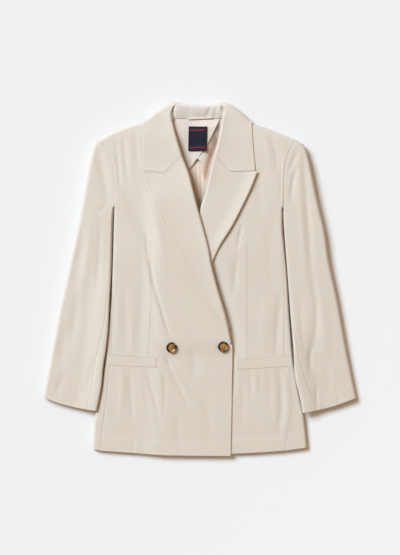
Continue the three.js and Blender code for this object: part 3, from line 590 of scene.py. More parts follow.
sleeveTurn = math.radians(9.5)
# seam lines on the body cloth, each grooved and darkened with painted shade
seams = {
    "darts": [[[150, 240], [151.4, 300], [147.9, 355]], [[246.4, 241], [247, 277], [246.2, 359]]],
    "pockets": [[[107.6, 354.5], [131, 356.3], [156.5, 358.1]], [[156.5, 358.1], [156.1, 367.3]],
                [[237.6, 359.7], [291, 356.3]], [[237.6, 359.7], [237.6, 369.5]]],
    "side": [[[287, 374], [289, 410], [287, 440]]],
}
# the body cloth has painted shade on the front along the over lapel's outer edge
clothBody = suiting("suitingBody", runs=seams["darts"] + seams["pockets"] + seams["side"],
                    paintedShade=[[[170, 240], [192, 280], [208, 306], [222, 326]]])
clothSleeveRight = suiting("suitingSleeveRight", -sleeveTurn)
clothSleeveLeft = suiting("suitingSleeveLeft", sleeveTurn)
clothLapel = suiting("suitingLapel", 0.35)
clothCollar = suiting("suitingCollar", math.pi / 4)
# painted light: the stand and hanging loop take a lighter copy of the body cloth, brightened against the
# shade their slope falls in
clothStandBrightened = suiting("suitingStand", 0.0, (0.715, 0.64, 0.575), (0.685, 0.605, 0.54))
print("cloth materials ready")

# Fronts: from the hem to the shoulder, side seam and armhole to the front edge and roll line.
front = {"cell": 2.5, "across": 290, "along": 720, "underRoll": 0.95, "neckRight": [[171.4, 106.6]],
         "neckLeft": [[224.8, 107]]}


def sideLine(seamRows, armholeRows):
    whole = spline(seamRows[::-1], armholeRows[1:])
    return whole, lengths(spline(seamRows))[-1] / lengths(whole)[-1]


def makeFront(name, node, hem, shoulder, inner, outer, height, seamSide):
    us = spaced(front["across"], front["cell"])
    vs = spaced(front["along"], front["cell"], pattern["shoulderCells"])
    sides = (outer, inner) if seamSide == "left" else (inner, outer)
    points = lifted(patch(hem, shoulder, *sides, us, vs), height)
    points[..., 2] = np.maximum(points[..., 2], crown(points[..., 1]) / 2 + pattern["apart"])
    points = hemmed(pressed(points, seamSide), "bottom")
    piece = shell(name, points, pattern["panel"], 1, "bottom " + ("right" if seamSide == "left" else "left"))
    return finishPiece(piece, node, "cloth", clothBody, points, rests_on=["back"])


sideRightFront, underRight = sideLine(outline["seamRight"], outline["armholeRight"])
sideLeftFront, underLeft = sideLine(outline["seamLeft"], outline["armholeLeft"])
makeFront("frontRight", "front_right", line["hemRight"],
          spline(outline["shoulderRight"][:9], front["neckRight"]),
          spline(outline["edgeRight"], inset(outline["rollRight"], -front["underRoll"]),
                 inset(outline["rollRightCollar"][:3], -front["underRoll"]), front["neckRight"]),
          sideRightFront, overTop, "left")
makeFront("frontLeft", "front_left", line["hemLeft"],
          spline(front["neckLeft"], outline["shoulderLeft"][:8][::-1]),
          spline(outline["edgeLeft"], inset(outline["rollLeft"], front["underRoll"]),
                 inset(outline["rollLeftCollar"][:4], front["underRoll"]), front["neckLeft"]),
          sideLeftFront, lambda x, y: bodyTop(x, y) - creaseDepth(x, y, underFolds), "right")
print("fronts ready")

# Back: flat on the table, up to the shoulder seams and over the collar.
back = {"across": 380, "along": 700, "cell": 5.5, "armhole": 0.2}
sideRightBack, backUnderRight = sideLine(outline["backSeamRight"],
                                         inset(outline["armholeRight"], back["armhole"]))
sideLeftBack, backUnderLeft = sideLine(outline["backSeamLeft"],
                                       inset(outline["armholeLeft"], -back["armhole"]))
backPoints = lifted(patch(
    line["hemBack"],
    spline(outline["shoulderRight"][:9], outline["neckBack"], outline["shoulderLeft"][:8][::-1]),
    sideRightBack, sideLeftBack, spaced(back["across"], back["cell"]),
    spaced(back["along"], back["cell"], pattern["shoulderCells"])), backLow)
backPoints[..., 2] = np.minimum(backPoints[..., 2], crown(backPoints[..., 1]) / 2 - pattern["apart"])
finishPiece(shell("backPanel", backPoints, pattern["backCloth"], -1, "bottom"), "back", "cloth", clothBody,
            backPoints)
print("back ready")


# Side panels: from the front seam round the side fold to the back seam beneath.
sidePanel = {"along": 530, "alongCell": 4.0, "cell": 3.5, "over": 60, "under": 90}


def makeSidePanel(name, node, frontSide, frontUnder, fold, backSide, backUnder, face):
    vs = spaced(sidePanel["along"], sidePanel["alongCell"])
    a = lineAt(frontSide, vs * frontUnder)
    f = lineAt(fold, 1 - vs)
    b = lineAt(backSide, vs * backUnder)
    q = ((1 - np.cos(np.pi * np.linspace(0, 1, sidePanel["over"]))) / 2)[:, None]
    rings = []
    for i in range(len(vs)):
        over = a[i] + (f[i] - a[i]) * q
        over = np.column_stack([over, bodyTop(over[:, 0], over[:, 1])])
        under = f[i] + (b[i] - f[i]) * np.linspace(0, 1, sidePanel["under"])[1:, None] ** 2
        low = np.minimum(backLow(under[:, 0], under[:, 1]), crown(under[:, 1]) / 2)
        under = np.column_stack([under, low])
        rings.append(np.vstack([over, under]))
    ends = [lengths(r)[-1] - pattern["seam"] * 2 for r in rings]
    points = ringStrip(rings, [pattern["seam"]] * len(rings), ends, sidePanel["cell"])
    points = hemmed(pressed(points, "left", face), "bottom", face)
    points[..., 2] = np.maximum(points[..., 2], pattern["floorGap"])
    piece = shell(name, points, pattern["panel"], face, "bottom")
    finishPiece(piece, node, "cloth", clothBody, points)


makeSidePanel("sidePanelRight", "side_panel_right", sideRightFront, underRight, line["foldRight"],
              sideRightBack, backUnderRight, -1)
makeSidePanel("sidePanelLeft", "side_panel_left", sideLeftFront, underLeft, line["foldLeft"],
              sideLeftBack, backUnderLeft, 1)
print("side panels ready")

# Sleeves: flattened tubes, inner edge resting on the side of the body.
sleeve = {
    "right": {
        "inner": [[114.4, 208.4], [113.4, 215], [112.8, 225], [112.3, 245], [111.6, 270], [109.9, 300],
            [108.5, 330], [105.6, 355], [103.7, 366], [101.7, 387], [97, 410.4]],
        "outer": [[100.3, 139.3], [96.5, 141.2], [94.2, 144.9], [92.5, 150.1], [90.2, 159.9],
            [87.9, 171.3], [86.1, 181.7], [80.5, 213], [74.9, 240], [67.9, 272.3], [60.2, 307.3],
            [52.4, 348], [43.3, 396.8]],
        "cuff": [[97, 410.4], [76.3, 407.2], [56.7, 402], [43.3, 396.8]],
        "cap": [[114.4, 208.4]] + inset(outline["armholeRight"][1:-1], -0.05) + [[100.3, 139.3]],
        "seamFromInner": [[208, 9], [290, 7], [324, 9], [352, 17], [387, 20], [412, 21]],
        "rests": [[262, 0], [298, 1], [420, 1]],
        "folds": [(97.5, 150, 102, 168, 106, 186, 109, 202, 4.6, 1.7),
            (84, 236, 80, 260, 76, 284, 6, 1.2), (92, 216, 88, 246, 84, 276, 80, 306, 4.6, -0.9),
            (79, 292, 75, 320, 71, 348, 4.5, 1.1), (66, 326, 63, 346, 60, 366, 6, 1.3),
            (64, 372, 60, 384, 56, 396, 3.6, 0.8), (101, 224, 99, 260, 96, 300, 3.0, 0.8),
            (97, 352, 92, 372, 87, 394, 3.4, 0.8), (106, 206, 102, 210, 97, 212, 2.2, 0.6)],
        "cloth": clothSleeveRight, "face": 1,
    },
    "left": {
        "inner": [[282.6, 209.4], [282.9, 216], [283.3, 225], [284.7, 245], [288.8, 296], [291.6, 330],
            [293.3, 352], [294.5, 374.7], [298.8, 394], [302.8, 412.4]],
        "outer": [[295.3, 139.5], [299.9, 142.4], [303.4, 144.8], [306.1, 149.9], [309.1, 160.5],
            [311.5, 171.5], [314, 183.9], [316.9, 198.5], [324.5, 231], [328.8, 260], [336.6, 296],
            [346.5, 349.4], [356.3, 397.6]],
        "cuff": [[302.8, 412.4], [329.6, 407], [356.3, 397.6]],
        "cap": [[282.6, 209.4]] + inset(outline["armholeLeft"][1:-1], 0.05) + [[295.3, 139.5]],
        "seamFromInner": [[208, 9], [300, 6], [330, 6], [355, 10], [382, 21], [412, 27]],
        "rests": [[305, 0], [345, 1], [420, 1]],
        "folds": [(297, 152, 293, 162, 288.6, 172, 1.9, 1.1),
            (296, 168, 292.6, 182, 290.6, 202, 2.5, 1.3),
            (303.5, 148, 304.5, 176, 307.5, 216, 310.5, 256, 313, 292, 3.4, 1.4),
            (298, 166, 299, 196, 302, 236, 305, 280, 3.4, -0.6),
            (312.5, 280, 316, 302, 316.5, 324, 314, 346, 3.2, 1.15),
            (312, 344, 309.5, 358, 310.5, 372, 2.6, 1.2), (316.5, 386, 316.2, 397, 317, 407, 1.7, 1.1),
            (334, 388, 338, 394, 341, 401, 2.2, 1.0), (321, 300, 324, 330, 326, 362, 5, -0.8),
            (300, 300, 301, 330, 303, 352, 3.0, 0.8), (325, 356, 328, 378, 330, 398, 4.5, 0.7)],
        "cloth": clothSleeveLeft, "face": -1,
    },
}


sleeveFit = {
    "along": 590, "alongCell": 3.6, "alongEnds": (0.5, 1.4, 2.8, 5), "cell": 3.0, "around": 90,
    "frontSeam": 4, "backSeam": 0.16, "hem": 32, "hemRise": 0.3,
    "clear": 0.9, "clearFade": (8, 22), "onBody": 6.8, "onBodyFade": (5, 48),
}


def sleeveHeights(part, x, y):
    row = gridRow(y)
    inner = distanceTo(x, y, part["innerLine"])
    rest = tableAt(part["rests"], row)
    low = rest * (crown(y) + sleeveFit["clear"]) * (1 - past(inner, *sleeveFit["clearFade"]))
    flat = tableAt(pattern["sleeveCrown"], row) + rest * sleeveFit["onBody"] * (
        1 - past(inner, *sleeveFit["onBodyFade"]))
    middle = (flat + low) / 2
    rim = arc(inner, pattern["sideRadius"]) * arc(distanceTo(x, y, part["outerLine"]), pattern["foldRadius"])
    high = flat - creaseDepth(x, y, part["folds"])
    return middle + (high - middle) * rim, middle - (middle - low) * rim


def makeSleeve(side):
    part = sleeve[side]
    part["innerLine"], part["outerLine"] = spline(part["inner"]), spline(part["outer"])
    vs = spaced(sleeveFit["along"], sleeveFit["alongCell"], sleeveFit["alongEnds"])
    level = (1 - np.cos(np.pi * np.linspace(0, 1, sleeveFit["around"]))) / 2
    flat = patch(spline(part["cap"]), spline(part["cuff"]), part["innerLine"], part["outerLine"], level, vs)
    top, bottom = sleeveHeights(part, flat[..., 0], flat[..., 1])
    over = np.dstack([flat, top])
    under = np.dstack([flat, bottom])[:, ::-1]
    rings, starts, rounds, fronts, backs = [], [], [], [], []
    for i in range(len(vs)):
        ring = np.vstack([over[i], under[i][1:]])
        closed = np.vstack([ring, ring[1:], ring[1:]])
        s = lengths(closed)
        start = s[len(ring) - 1]
        rings.append(closed)
        fronts.append(start + tableAt(part["seamFromInner"], gridRow(flat[i, 0, 1])) + sleeveFit["frontSeam"])
        wide = np.linalg.norm(flat[i, -1] - flat[i, 0])
        backs.append(s[len(ring) - 1 + len(level)] + sleeveFit["backSeam"] * wide)
        rounds.append(start)
    gap = pattern["seam"]
    for name, node, a, b in (
            ("sleeveTop", "sleeve_top_", [f + gap for f in fronts], [q - gap for q in backs]),
            ("sleeveUnder", "sleeve_under_", [q - r + gap for q, r in zip(backs, rounds)],
             [f - gap for f in fronts])):
        face = part["face"]
        points = pressed(ringStrip(rings, a, b, sleeveFit["cell"]), "left right bottom", face)
        points = hemmed(points, "top", face, sleeveFit["hem"], sleeveFit["hemRise"])
        points[..., 2] = np.maximum(points[..., 2], pattern["floorGap"])
        piece = shell(name + side.capitalize(), points, pattern["panel"], face, "top")
        finishPiece(piece, node + side, "cloth", part["cloth"], points)


makeSleeve("right")
makeSleeve("left")
print("sleeves ready")

# Lapels: lie on the fronts, full along the roll, curling down over the front's edge.
lapel = {
    "gap": 0.9, "spread": 15, "curl": (0, 0.12, 0.5, 1.1, 1.9, 2.9, 4.1, 5.6), "across": 44, "along": 430,
    "tipRows": (0, 0.004, 0.01, 0.02), "tipWide": 12, "edgeWide": 14, "tuck": 0.2,
    "lift": {"right": (2.2, 343, 300), "left": (3.8, 262, 236)},  # height, row it ends at, row it is full at
    "allowance": 7.5, "ridge": 0.25, "ridgeFade": 2, "groove": 0.45, "grooveWide": 1.7, "flatten": 20,
}
gorgePress = {"depth": 0.5, "width": 1.4}


def makeLapel(name, node, rollRows, edgeRows, gorgeRows, base, rollLine, fullness):
    roll, edge, gorge = spline(rollRows), spline(edgeRows), spline(gorgeRows)
    tip = evenly(np.vstack([roll[:1], edge[:1]]), 400)
    vs = np.concatenate([lapel["tipRows"], spaced(lapel["along"], 3.0)[4:]])
    width = np.linalg.norm(patch(tip, gorge, roll, edge, np.array([1.0]), vs) -
                           patch(tip, gorge, roll, edge, np.array([0.0]), vs), axis=2)
    near = np.array(lapel["curl"])[None] * np.minimum(1, width / lapel["tipWide"])
    far = np.linspace(0, 1, lapel["across"])[None, 1:] ** 0.9
    us = np.concatenate([near, near[:, -1:] + (width - near[:, -1:]) * far], 1) / width
    flat = patch(tip, gorge, roll, edge, us, vs)
    x, y = flat[..., 0], flat[..., 1]
    d = distanceTo(x, y, rollLine)
    outer = distanceTo(x, y, edge)
    high = base(x, y) + lapel["gap"] + pattern["lapelCloth"] + fullness(x, y) * np.exp(-d / lapel["spread"])
    lift, fades, full = lapel["lift"][node[6:]]
    opened = lift * np.exp(-(outer / lapel["edgeWide"]) ** 2) * smooth(d / lapel["edgeWide"])
    high = high + opened * smooth((fades - gridRow(y)) / (fades - full))
    flatter = smooth(d / lapel["flatten"])
    fromSeam = outer - lapel["allowance"]
    high = high - lapel["groove"] * np.exp(-(fromSeam / lapel["grooveWide"]) ** 2) * flatter
    high = high + lapel["ridge"] * (1 - smooth(fromSeam / lapel["ridgeFade"])) * flatter
    low = base(x, y) - pattern["panel"] + lapel["tuck"]
    z = low + (high - low) * arc(d, pattern["rollRadius"])
    points = pressed(np.dstack([flat, z]), "top", **gorgePress)
    face = 1 if node.endswith("left") else -1
    piece = shell(name, points, pattern["lapelCloth"], face, "right")
    return finishPiece(piece, node, "cloth", clothLapel, points,
                       rests_on=["front_right" if node.endswith("right") else "front_left"])


makeLapel("lapelRight", "lapel_right", [[231.2, 342]] + outline["rollRight"][1:], outline["lapelRight"],
          outline["gorgeRight"], overTop, line["rollRightAll"],
          lambda x, y: pattern["rollFullness"] * smooth((342.5 - gridRow(y)) / 13))
makeLapel("lapelLeft", "lapel_left", [[163.6, 342]] + outline["rollLeft"][1:], outline["lapelLeft"],
          outline["gorgeLeft"], bodyTop, line["rollLeftAll"],
          lambda x, y: pattern["rollFullness"] * (1 - smooth((gridRow(y) - 176) / 24)))
print("lapels ready")

# Collar: one strip of cloth, lying on both fronts and folded over the neck to lie beneath.
collar = {
    "top": [[144.6, 119.4], [152.6, 113.4], [160.5, 107.9], [168, 103.6], [173.4, 101.8], [184.4, 103.6],
        [199.5, 104.8], [211.7, 104.6], [222.6, 102.8], [229.4, 103.9], [238.8, 109.8], [250.6, 120.6]],
    "ribs": [  # roll, crossing of the fold line, free edge
        [182.4, 156.5, 142.6, 171, 142.6, 171], [179.6, 147, 143, 160, 143, 160],
        [176.8, 137.6, 143.6, 149, 143.6, 149], [173.7, 126.4, 144.2, 134, 144.2, 134],
        [172, 117.4, 144.6, 119.6, 144.6, 119.6], [171.3, 113.2, 152.6, 113.4, 149.4, 122.4],
        [171.6, 110.6, 161, 107.6, 154.4, 123.4], [173, 107.6, 168, 103.6, 166, 125.4],
        [176.2, 105.4, 174.4, 101.9, 175.4, 126.8], [184.4, 105.6, 184.4, 103.6, 184.6, 127.6],
        [199.5, 106.8, 199.5, 104.8, 199.5, 128], [211.7, 106.6, 211.7, 104.6, 212, 127.6],
        [219.6, 105.6, 221.4, 102.9, 221, 126.8], [222.6, 107.6, 228, 103.4, 230, 125.4],
        [223.8, 110.8, 236, 107.7, 242, 123.4], [223.3, 114, 244, 114, 246.4, 122.6],
        [222.2, 118.4, 250.6, 120.8, 250.6, 120.8], [220.6, 127, 251.7, 134, 251.7, 134],
        [218.6, 137.6, 252.8, 149, 252.8, 149], [216.4, 147, 253.8, 160, 253.8, 160],
        [214.1, 155.1, 254.6, 171.3, 254.6, 171.3]],
    "gorgeRight": [[182.4, 156.5], [179.5, 157.92], [175.9, 161.32], [169.9, 167.52], [165.7, 172.4],
        [164.5, 173.35], [162.9, 173.2], [153, 172.3], [142.6, 171]],
    "gorgeLeft": [[214.1, 155.1], [219.1, 159.72], [225.1, 166.12], [229.5, 171.1], [230.9, 172.15],
        [232.5, 172.1], [243, 171.7], [254.6, 171.3]],
    "gap": 0.9, "wrap": 3, "curls": (107, 12), "spread": 15, "gorgeEnds": 3.2, "over": 160, "under": 100,
    "laps": (4, 16), "cell": 1.8, "edgeCells": (0.2, 0.7, 1.6),
}
collarTopLine = spline(collar["top"])
collarTopFine = evenly(collarTopLine, 4000)
collarGorges = (spline(collar["gorgeRight"]), spline(collar["gorgeLeft"]))


def collarRim(x, y):
    return arc(distanceTo(x, y, collarTopLine), pattern["foldRadius"] + collar["wrap"])


def collarHigh(x, y):
    middle = crown(y) / 2
    high = bodyHigh(x, y) + overLift(x, y) + collar["gap"] + pattern["lapelCloth"]
    return middle + (high - middle) * collarRim(x, y)


def collarSection(at):
    ribs = np.array(collar["ribs"], float)
    last = len(ribs) - 1
    i = min(last - 1, int(at))
    q = at - i
    p0, p1, p2, p3 = ribs[max(0, i - 1)], ribs[i], ribs[i + 1], ribs[min(last, i + 2)]
    rib = p1 + 0.5 * q * (p2 - p0 + q * (2 * p0 - 5 * p1 + 4 * p2 - p3 + q * (3 * (p1 - p2) + p3 - p0)))
    roll, cross, edge = toMm(rib.reshape(3, 2))
    if at <= collar["laps"][0] or at >= collar["laps"][1]:
        cross = edge
    else:
        cross = collarTopFine[np.argmin(np.hypot(*(collarTopFine - cross).T))]
    under = np.linalg.norm(cross - edge)
    end = at >= len(ribs) / 2
    near = smooth(max(0, 1 - (last - at if end else at) / collar["gorgeEnds"]))
    gorge = collarGorges[1 if end else 0]
    t = 1 - (1 - np.linspace(0, 1, collar["over"])) ** (2 if under > 0.3 else 1)
    flat = roll + (cross - roll) * t[:, None]
    flat = flat + (lineAt(gorge, t) - (gorge[0] + (gorge[-1] - gorge[0]) * t[:, None])) * near
    x, y = flat[:, 0], flat[:, 1]
    d = distanceTo(x, y, line["rollLeftAll"] if end else line["rollRightAll"])
    curl = past(gridRow(y), *collar["curls"])
    high = collarHigh(x, y) + pattern["rollFullness"] * curl * np.exp(-d / collar["spread"])
    low = collarHigh(x, y) - collar["gap"] - pattern["lapelCloth"] - pattern["panel"] + lapel["tuck"]
    z = high + (low - high) * curl * (1 - arc(d, pattern["rollRadius"]))
    ring = np.column_stack([flat, z])
    if under > 0.3:
        below = cross + (edge - cross) * np.linspace(0, 1, collar["under"])[1:, None] ** 2
        z = crown(below[:, 1]) / 2 * (1 - collarRim(below[:, 0], below[:, 1]))
        ring = np.vstack([ring, np.column_stack([below, z])])
    return ring


# closer together where the fold line turns
stations = np.concatenate([[0, 0.02, 0.05], np.linspace(0.1, 3, 26), np.linspace(3, 6, 70)[1:],
                           np.linspace(6, 14, 90)[1:], np.linspace(14, 17, 70)[1:],
                           np.linspace(17, 19.9, 26)[1:], [19.95, 19.98, 20]])
collarRings = [collarSection(s) for s in stations]
collarPoints = ringStrip(collarRings, [0] * len(collarRings), [lengths(r)[-1] for r in collarRings],
                         collar["cell"], collar["edgeCells"])
collarPoints = pressed(collarPoints, "top bottom", -1, **gorgePress)
finishPiece(shell("collarFall", collarPoints, pattern["lapelCloth"], -1, "right"), "collar_fall", "cloth",
            clothCollar, collarPoints, "folded")

stand = {
    "foot": 16.0, "head": 24, "tuck": 5.2, "thick": 0.6, "seamRow": 118.8, "tall": 13, "lean": 1.35,
    "over": 0.9, "blend": 2.0, "rightEnd": (171, 4.5), "leftEnd": (220.4, 2.4),
    "top": [[169.8, 104.6], [173.4, 103.2], [177, 102.9], [184.4, 104.1], [199.5, 105.3], [211.7, 105.1],
        [219, 103.9], [223, 103.6], [226.2, 104.6]],
    "seam": [[169.8, 118.2], [173, 118.4], [186, 118.9], [199, 119.2], [212, 118.9], [222.4, 118.2],
        [226, 117.9]],
    "folds": [(174.5, 104, 173.6, 111, 174.2, 118, 1.6, 1.6), (212, 106, 209, 112, 206, 118, 2.2, 1.0),
        (186, 105, 189, 111, 190, 118, 3, 0.7), (217, 105, 215.4, 111, 215, 118, 1.8, 0.8)],
}


def standHeight(x, y):
    # leans from the seam up to the collar, and both ends run in under the collar
    q = clamp((stand["seamRow"] - gridRow(y)) / stand["tall"])
    swing = np.sin(q * stand["lean"]) / math.sin(stand["lean"])
    rise = stand["foot"] + (stand["head"] - stand["foot"]) * swing ** 1.05
    over = collarHigh(x, y) + stand["over"]
    low = -stand["blend"] * np.log(np.exp(-rise / stand["blend"]) + np.exp(-over / stand["blend"]))
    column = gridColumn(x)
    tuck = (1 - past(column, *stand["rightEnd"])) + past(column, *stand["leftEnd"])
    return low - np.maximum(0, low - (over - stand["tuck"])) * tuck - creaseDepth(x, y, stand["folds"])


def edgeBetween(a, b):
    return evenly(np.vstack([a[None], b[None]]), 400)


standTop, standSeam = spline(stand["top"]), spline(stand["seam"])
standPoints = lifted(patch(standSeam, standTop, edgeBetween(standSeam[0], standTop[0]),
                           edgeBetween(standSeam[-1], standTop[-1]), spaced(124, 1.4), spaced(36, 1.0)),
                     standHeight)
finishPiece(shell("collarStand", standPoints, stand["thick"], 1, "top"), "collar_stand", "cloth", clothStandBrightened,
            standPoints, "folded")
print("collar ready")

# Inside the neck: facing, lining, label and hanging loop.
inner = {
    "main": {
        "top": [[173, 118.6], [186, 119.1], [199, 119.4], [212, 119.2], [219.8, 119]],
        "foot": [[168, 164], [181, 172], [189.3, 168.4], [195.6, 160.2], [201.9, 152]],
    },
    "beside": {
        "top": [[215, 117.6], [224.6, 117.2]],
        "foot": [[197.5, 158.3], [200, 160.4], [202.4, 163.6], [202.1, 170], [203.8, 175.6],
            [206, 181.6], [216, 186]],
    },
    "lining": {
        "top": [[176, 160], [190, 156], [200, 150], [212, 160]],
        "foot": [[176, 228], [188, 230], [200, 231], [212, 229], [221, 226]],
    },
    "mainEdge": [[201.9, 152], [208.3, 142.3], [219.8, 119]],
    "aboveBack": 1.8, "leans": (119, 54), "facing": 3.4, "hangs": 9.8, "thick": 0.9,
    "mainRise": 5.4, "mainBeside": (190, 16), "mainBelow": (118.5, 10),
    "besideRise": 2.4, "besideBelow": (124, 14), "liningRise": 0.3, "liningThick": 0.8,
    "acrossCell": 1.5, "alongCell": 1.7,
    "pleats": [(192, 166, 192.6, 190, 194, 224, 1.1, 1.2), (196.6, 158, 197.6, 190, 199, 224, 1.1, 1.3),
        (200.6, 162, 201.4, 190, 202.4, 224, 1.1, 1.2), (205.4, 178, 205.8, 204, 206, 226, 1.1, 1.0)],
    "folds": [(221, 124, 219.5, 134, 216, 148, 212, 163, 207, 182, 5.0, 5.0)],
}


def inside(x, y):
    return backLow(x, y) + pattern["backCloth"] + inner["aboveBack"]


def facingHeight(x, y):
    # hangs from the stand, highest at the neck, and leans down to the back
    down = 1 - past(gridRow(y), *inner["leans"])
    return inside(x, y) + inner["facing"] + (stand["foot"] - inner["hangs"]) * down


def neckPatch(part, height, across, along, **sides):
    top, foot = spline(inner[part]["top"]), spline(inner[part]["foot"])
    right = sides.get("right", edgeBetween(foot[-1], top[-1]))
    left = sides.get("left", edgeBetween(foot[0], top[0]))
    us = spaced(across, inner["acrossCell"], pattern["tagCells"])
    vs = spaced(along, inner["alongCell"], pattern["tagCells"])
    return lifted(patch(foot, top, left, right, us, vs), height)


def mainHeight(x, y):
    return facingHeight(x, y) + inner["mainRise"] * past(gridColumn(x), *inner["mainBeside"]) * past(
        gridRow(y), *inner["mainBelow"])


def besideHeight(x, y):
    high = facingHeight(x, y) + inner["besideRise"] * past(gridRow(y), *inner["besideBelow"])
    return np.maximum(inside(x, y) + inner["thick"], high - creaseDepth(x, y, inner["folds"]))


def liningHeight(x, y):
    return inside(x, y) + inner["liningRise"] - 0.6 * creaseDepth(x, y, inner["pleats"])


mainFacing = neckPatch("main", mainHeight, 110, 100, right=spline(inner["mainEdge"]))
besideFacing = neckPatch("beside", besideHeight, 60, 130)
liningPoints = neckPatch("lining", liningHeight, 110, 150)
# turned is painted shade: a brown tone laid along the line where the facing turns down under the lapel,
# standing in for its shadow
facingLook = {
    "tones": ((0.74, 0.64, 0.58), (0.70, 0.60, 0.54)), "turned": (0.65, 0.43, 0.30), "paintedTurnShadeWide": 14,
    "turn": [[217, 141], [213.4, 150], [207.4, 165], [204.8, 178]],
}
# the facing beside the lapel carries that painted shade along its turn
facingCloth = suiting("facingCloth", 0.0, *facingLook["tones"])
facingTurned = suiting("facingTurned", 0.0, *facingLook["tones"], paintedShade=[facingLook["turn"]],
                       paintedShadeWide=facingLook["paintedTurnShadeWide"], paintedShadeShare=1.0, paintedShadeTone=facingLook["turned"])
liningShade = Shade("liningSatin", Specular_IOR_Level=0.4, Sheen_Weight=0.1)
liningWhere = liningShade.place()
liningThread = liningShade.noise(liningShade.turned(liningWhere, 0.0, (1, 0.06, 1)), 3000.0, 2.0)
liningShade.set(Base_Color=liningShade.tint(liningThread, (0.69, 0.55, 0.44), (0.77, 0.64, 0.53)),
                Roughness=0.42 + 0.16 * liningThread,
                Normal=liningShade.bump(liningThread, 0.2, 0.00015))
finishPiece(shell("backLining", liningPoints, inner["liningThick"]), "lining", "lining", liningShade.material,
            liningPoints, rests_on=["back"])


tags = {
    "neckLabel": {"at": [197.7, 139], "wide": 40, "tall": 53, "turn": -0.02, "lift": 2.6, "thick": 0.7},
    "hangerLoop": {"at": [200.2, 118.4], "wide": 54, "tall": 3.2, "turn": 0.045, "lift": 3.6, "thick": 1.0},
    "stripes": [[[190.4, 130.6], [205, 130.4]], [[190.4, 147.6], [205, 147.4]]], "stripeWide": 1.1,
}


def makeTag(name, node, slot, material):
    at, wide, tall, turn, lift, thick = tags[name].values()
    us, vs = [spaced(length, inner["acrossCell"], pattern["tagCells"]) for length in (wide, tall)]
    u, v = np.meshgrid((us - 0.5) * wide, (vs - 0.5) * tall)
    centre = toMm([at])[0]
    flat = np.dstack([centre[0] + u * math.cos(turn) - v * math.sin(turn),
                      centre[1] + u * math.sin(turn) + v * math.cos(turn)])
    points = lifted(flat, lambda a, b: mainHeight(a, b) + lift)
    return finishPiece(shell(name, points, thick, 1, "left right top bottom"), node, slot, material)


labelShade = Shade("labelTape", Roughness=0.75, Specular_IOR_Level=0.2)
labelWhere = labelShade.place()
labelWeave = labelShade.bands(labelWhere, 700.0, "X") * 0.5 + labelShade.bands(labelWhere, 700.0, "Y") * 0.5
labelStripes = stitched(labelShade, labelWhere, tags["stripes"], tags["stripeWide"])
labelStripes = (labelStripes * 3.0).calc("MINIMUM", 1.0)
labelGround = labelShade.tint(labelWeave, (0.006, 0.007, 0.016), (0.018, 0.019, 0.036))
labelShade.set(Base_Color=labelShade.tint(labelStripes, labelGround, (0.32, 0.01, 0.02)),
               Normal=labelShade.bump(labelWeave, 0.4, 0.0002))
neckPieces = [makeTag("neckLabel", "label", "label", labelShade.material),
              makeTag("hangerLoop", "hanger_loop", "cloth", clothStandBrightened)]
finishPiece(shell("neckFacing", mainFacing, inner["thick"], 1, "bottom right"), "neck_facing", "inner_cloth",
            facingCloth, mainFacing, rests_on=["back"], with_pieces=neckPieces)
finishPiece(shell("neckFacingLeft", besideFacing, inner["thick"], 1, "bottom"), None, "inner_cloth",
            facingTurned, besideFacing, rests_on=["back"])
print("neck ready")

# Pocket welts, laid on the front and side panels.
pocket = {
    "right": [[[107.6, 354.8], [131, 356.6], [156.5, 358.4]], [[106.9, 364.4], [131, 365.9], [156, 367.1]]],
    "left": [[[237.7, 360], [264, 358.4], [291, 356.6]], [[237.7, 369.2], [264, 367.6], [292, 365.5]]],
    "rise": 0.75, "thick": 1.8, "wide": 115, "tall": 21, "acrossCell": 1.8, "upCell": 1.0,
}


def makePocket(name, node, edges, base):
    top, bottom = spline(edges[0]), spline(edges[1])
    flat = patch(bottom, top, edgeBetween(bottom[0], top[0]), edgeBetween(bottom[-1], top[-1]),
                 spaced(pocket["wide"], pocket["acrossCell"]),
                 spaced(pocket["tall"], pocket["upCell"], pattern["tagCells"]))
    points = lifted(flat, lambda x, y: base(x, y) + pocket["rise"])
    return finishPiece(shell(name, points, pocket["thick"], 1, "top bottom left right"), node, "cloth",
                       clothBody, points, rests_on=["front_right" if base is overTop else "front_left"])


makePocket("pocketRight", "pocket_right", pocket["right"], overTop)
makePocket("pocketLeft", "pocket_left", pocket["left"], bodyTop)
print("pockets ready")

# Buttons: turned discs with a raised rim, four holes and crossed thread.
button = {
    "places": {"Decorative": ([171.7, 347.3], 0.25), "Fastened": ([223.1, 346.4], -0.5)},
    "profile": [[0, 0], [9.2, 0], [10.6, 0.45], [11.4, 1.3], [11.75, 2.4], [11.5, 3.3], [10.9, 3.95],
        [10, 4.2], [9.2, 4.05], [8.5, 3.6], [7.6, 3.1], [6, 2.85], [0, 2.75]],
    "hole": 0.95, "spread": 1.9, "thread": 0.42, "threadRise": (4.2, 4.7), "threadPair": 0.36,
    "seat": 0.35, "seatRings": (0, 5.9, 11.75), "sides": 72, "splitAngle": 38, "smokeWide": 4.6,
    "holeEnd": [[214.4, 346.3], [218.6, 346.2]],
    "smoke": [
        [[168.9, 343.2], [167.2, 346.4], [167.6, 349.6], [169.4, 351.6]], [[175.6, 346], [175.9, 348.2]],
        [[171.4, 342.6], [173, 342.4]],
        [[222.6, 341.9], [219.6, 343], [218.4, 346.4], [219.2, 348.8]], [[226, 349], [224.6, 350.6]],
        [[225.4, 342.6], [226.4, 343.8]]],
}
tortoiseshell = Shade("tortoiseshell", Specular_IOR_Level=0.45, Coat_Weight=0.2, Coat_Roughness=0.2)
buttonWhere = tortoiseshell.place()
blotch = tortoiseshell.noise(tortoiseshell.make("ShaderNodeVectorMath", {"operation": "ADD"}, {
    0: buttonWhere, 1: (0.31, 0.77, 0.0)})[0], 110.0, 2.5, 0.55)
streak = tortoiseshell.noise(tortoiseshell.turned(buttonWhere, 0.6, (1, 0.35, 1)), 240.0, 3.0, 0.6)
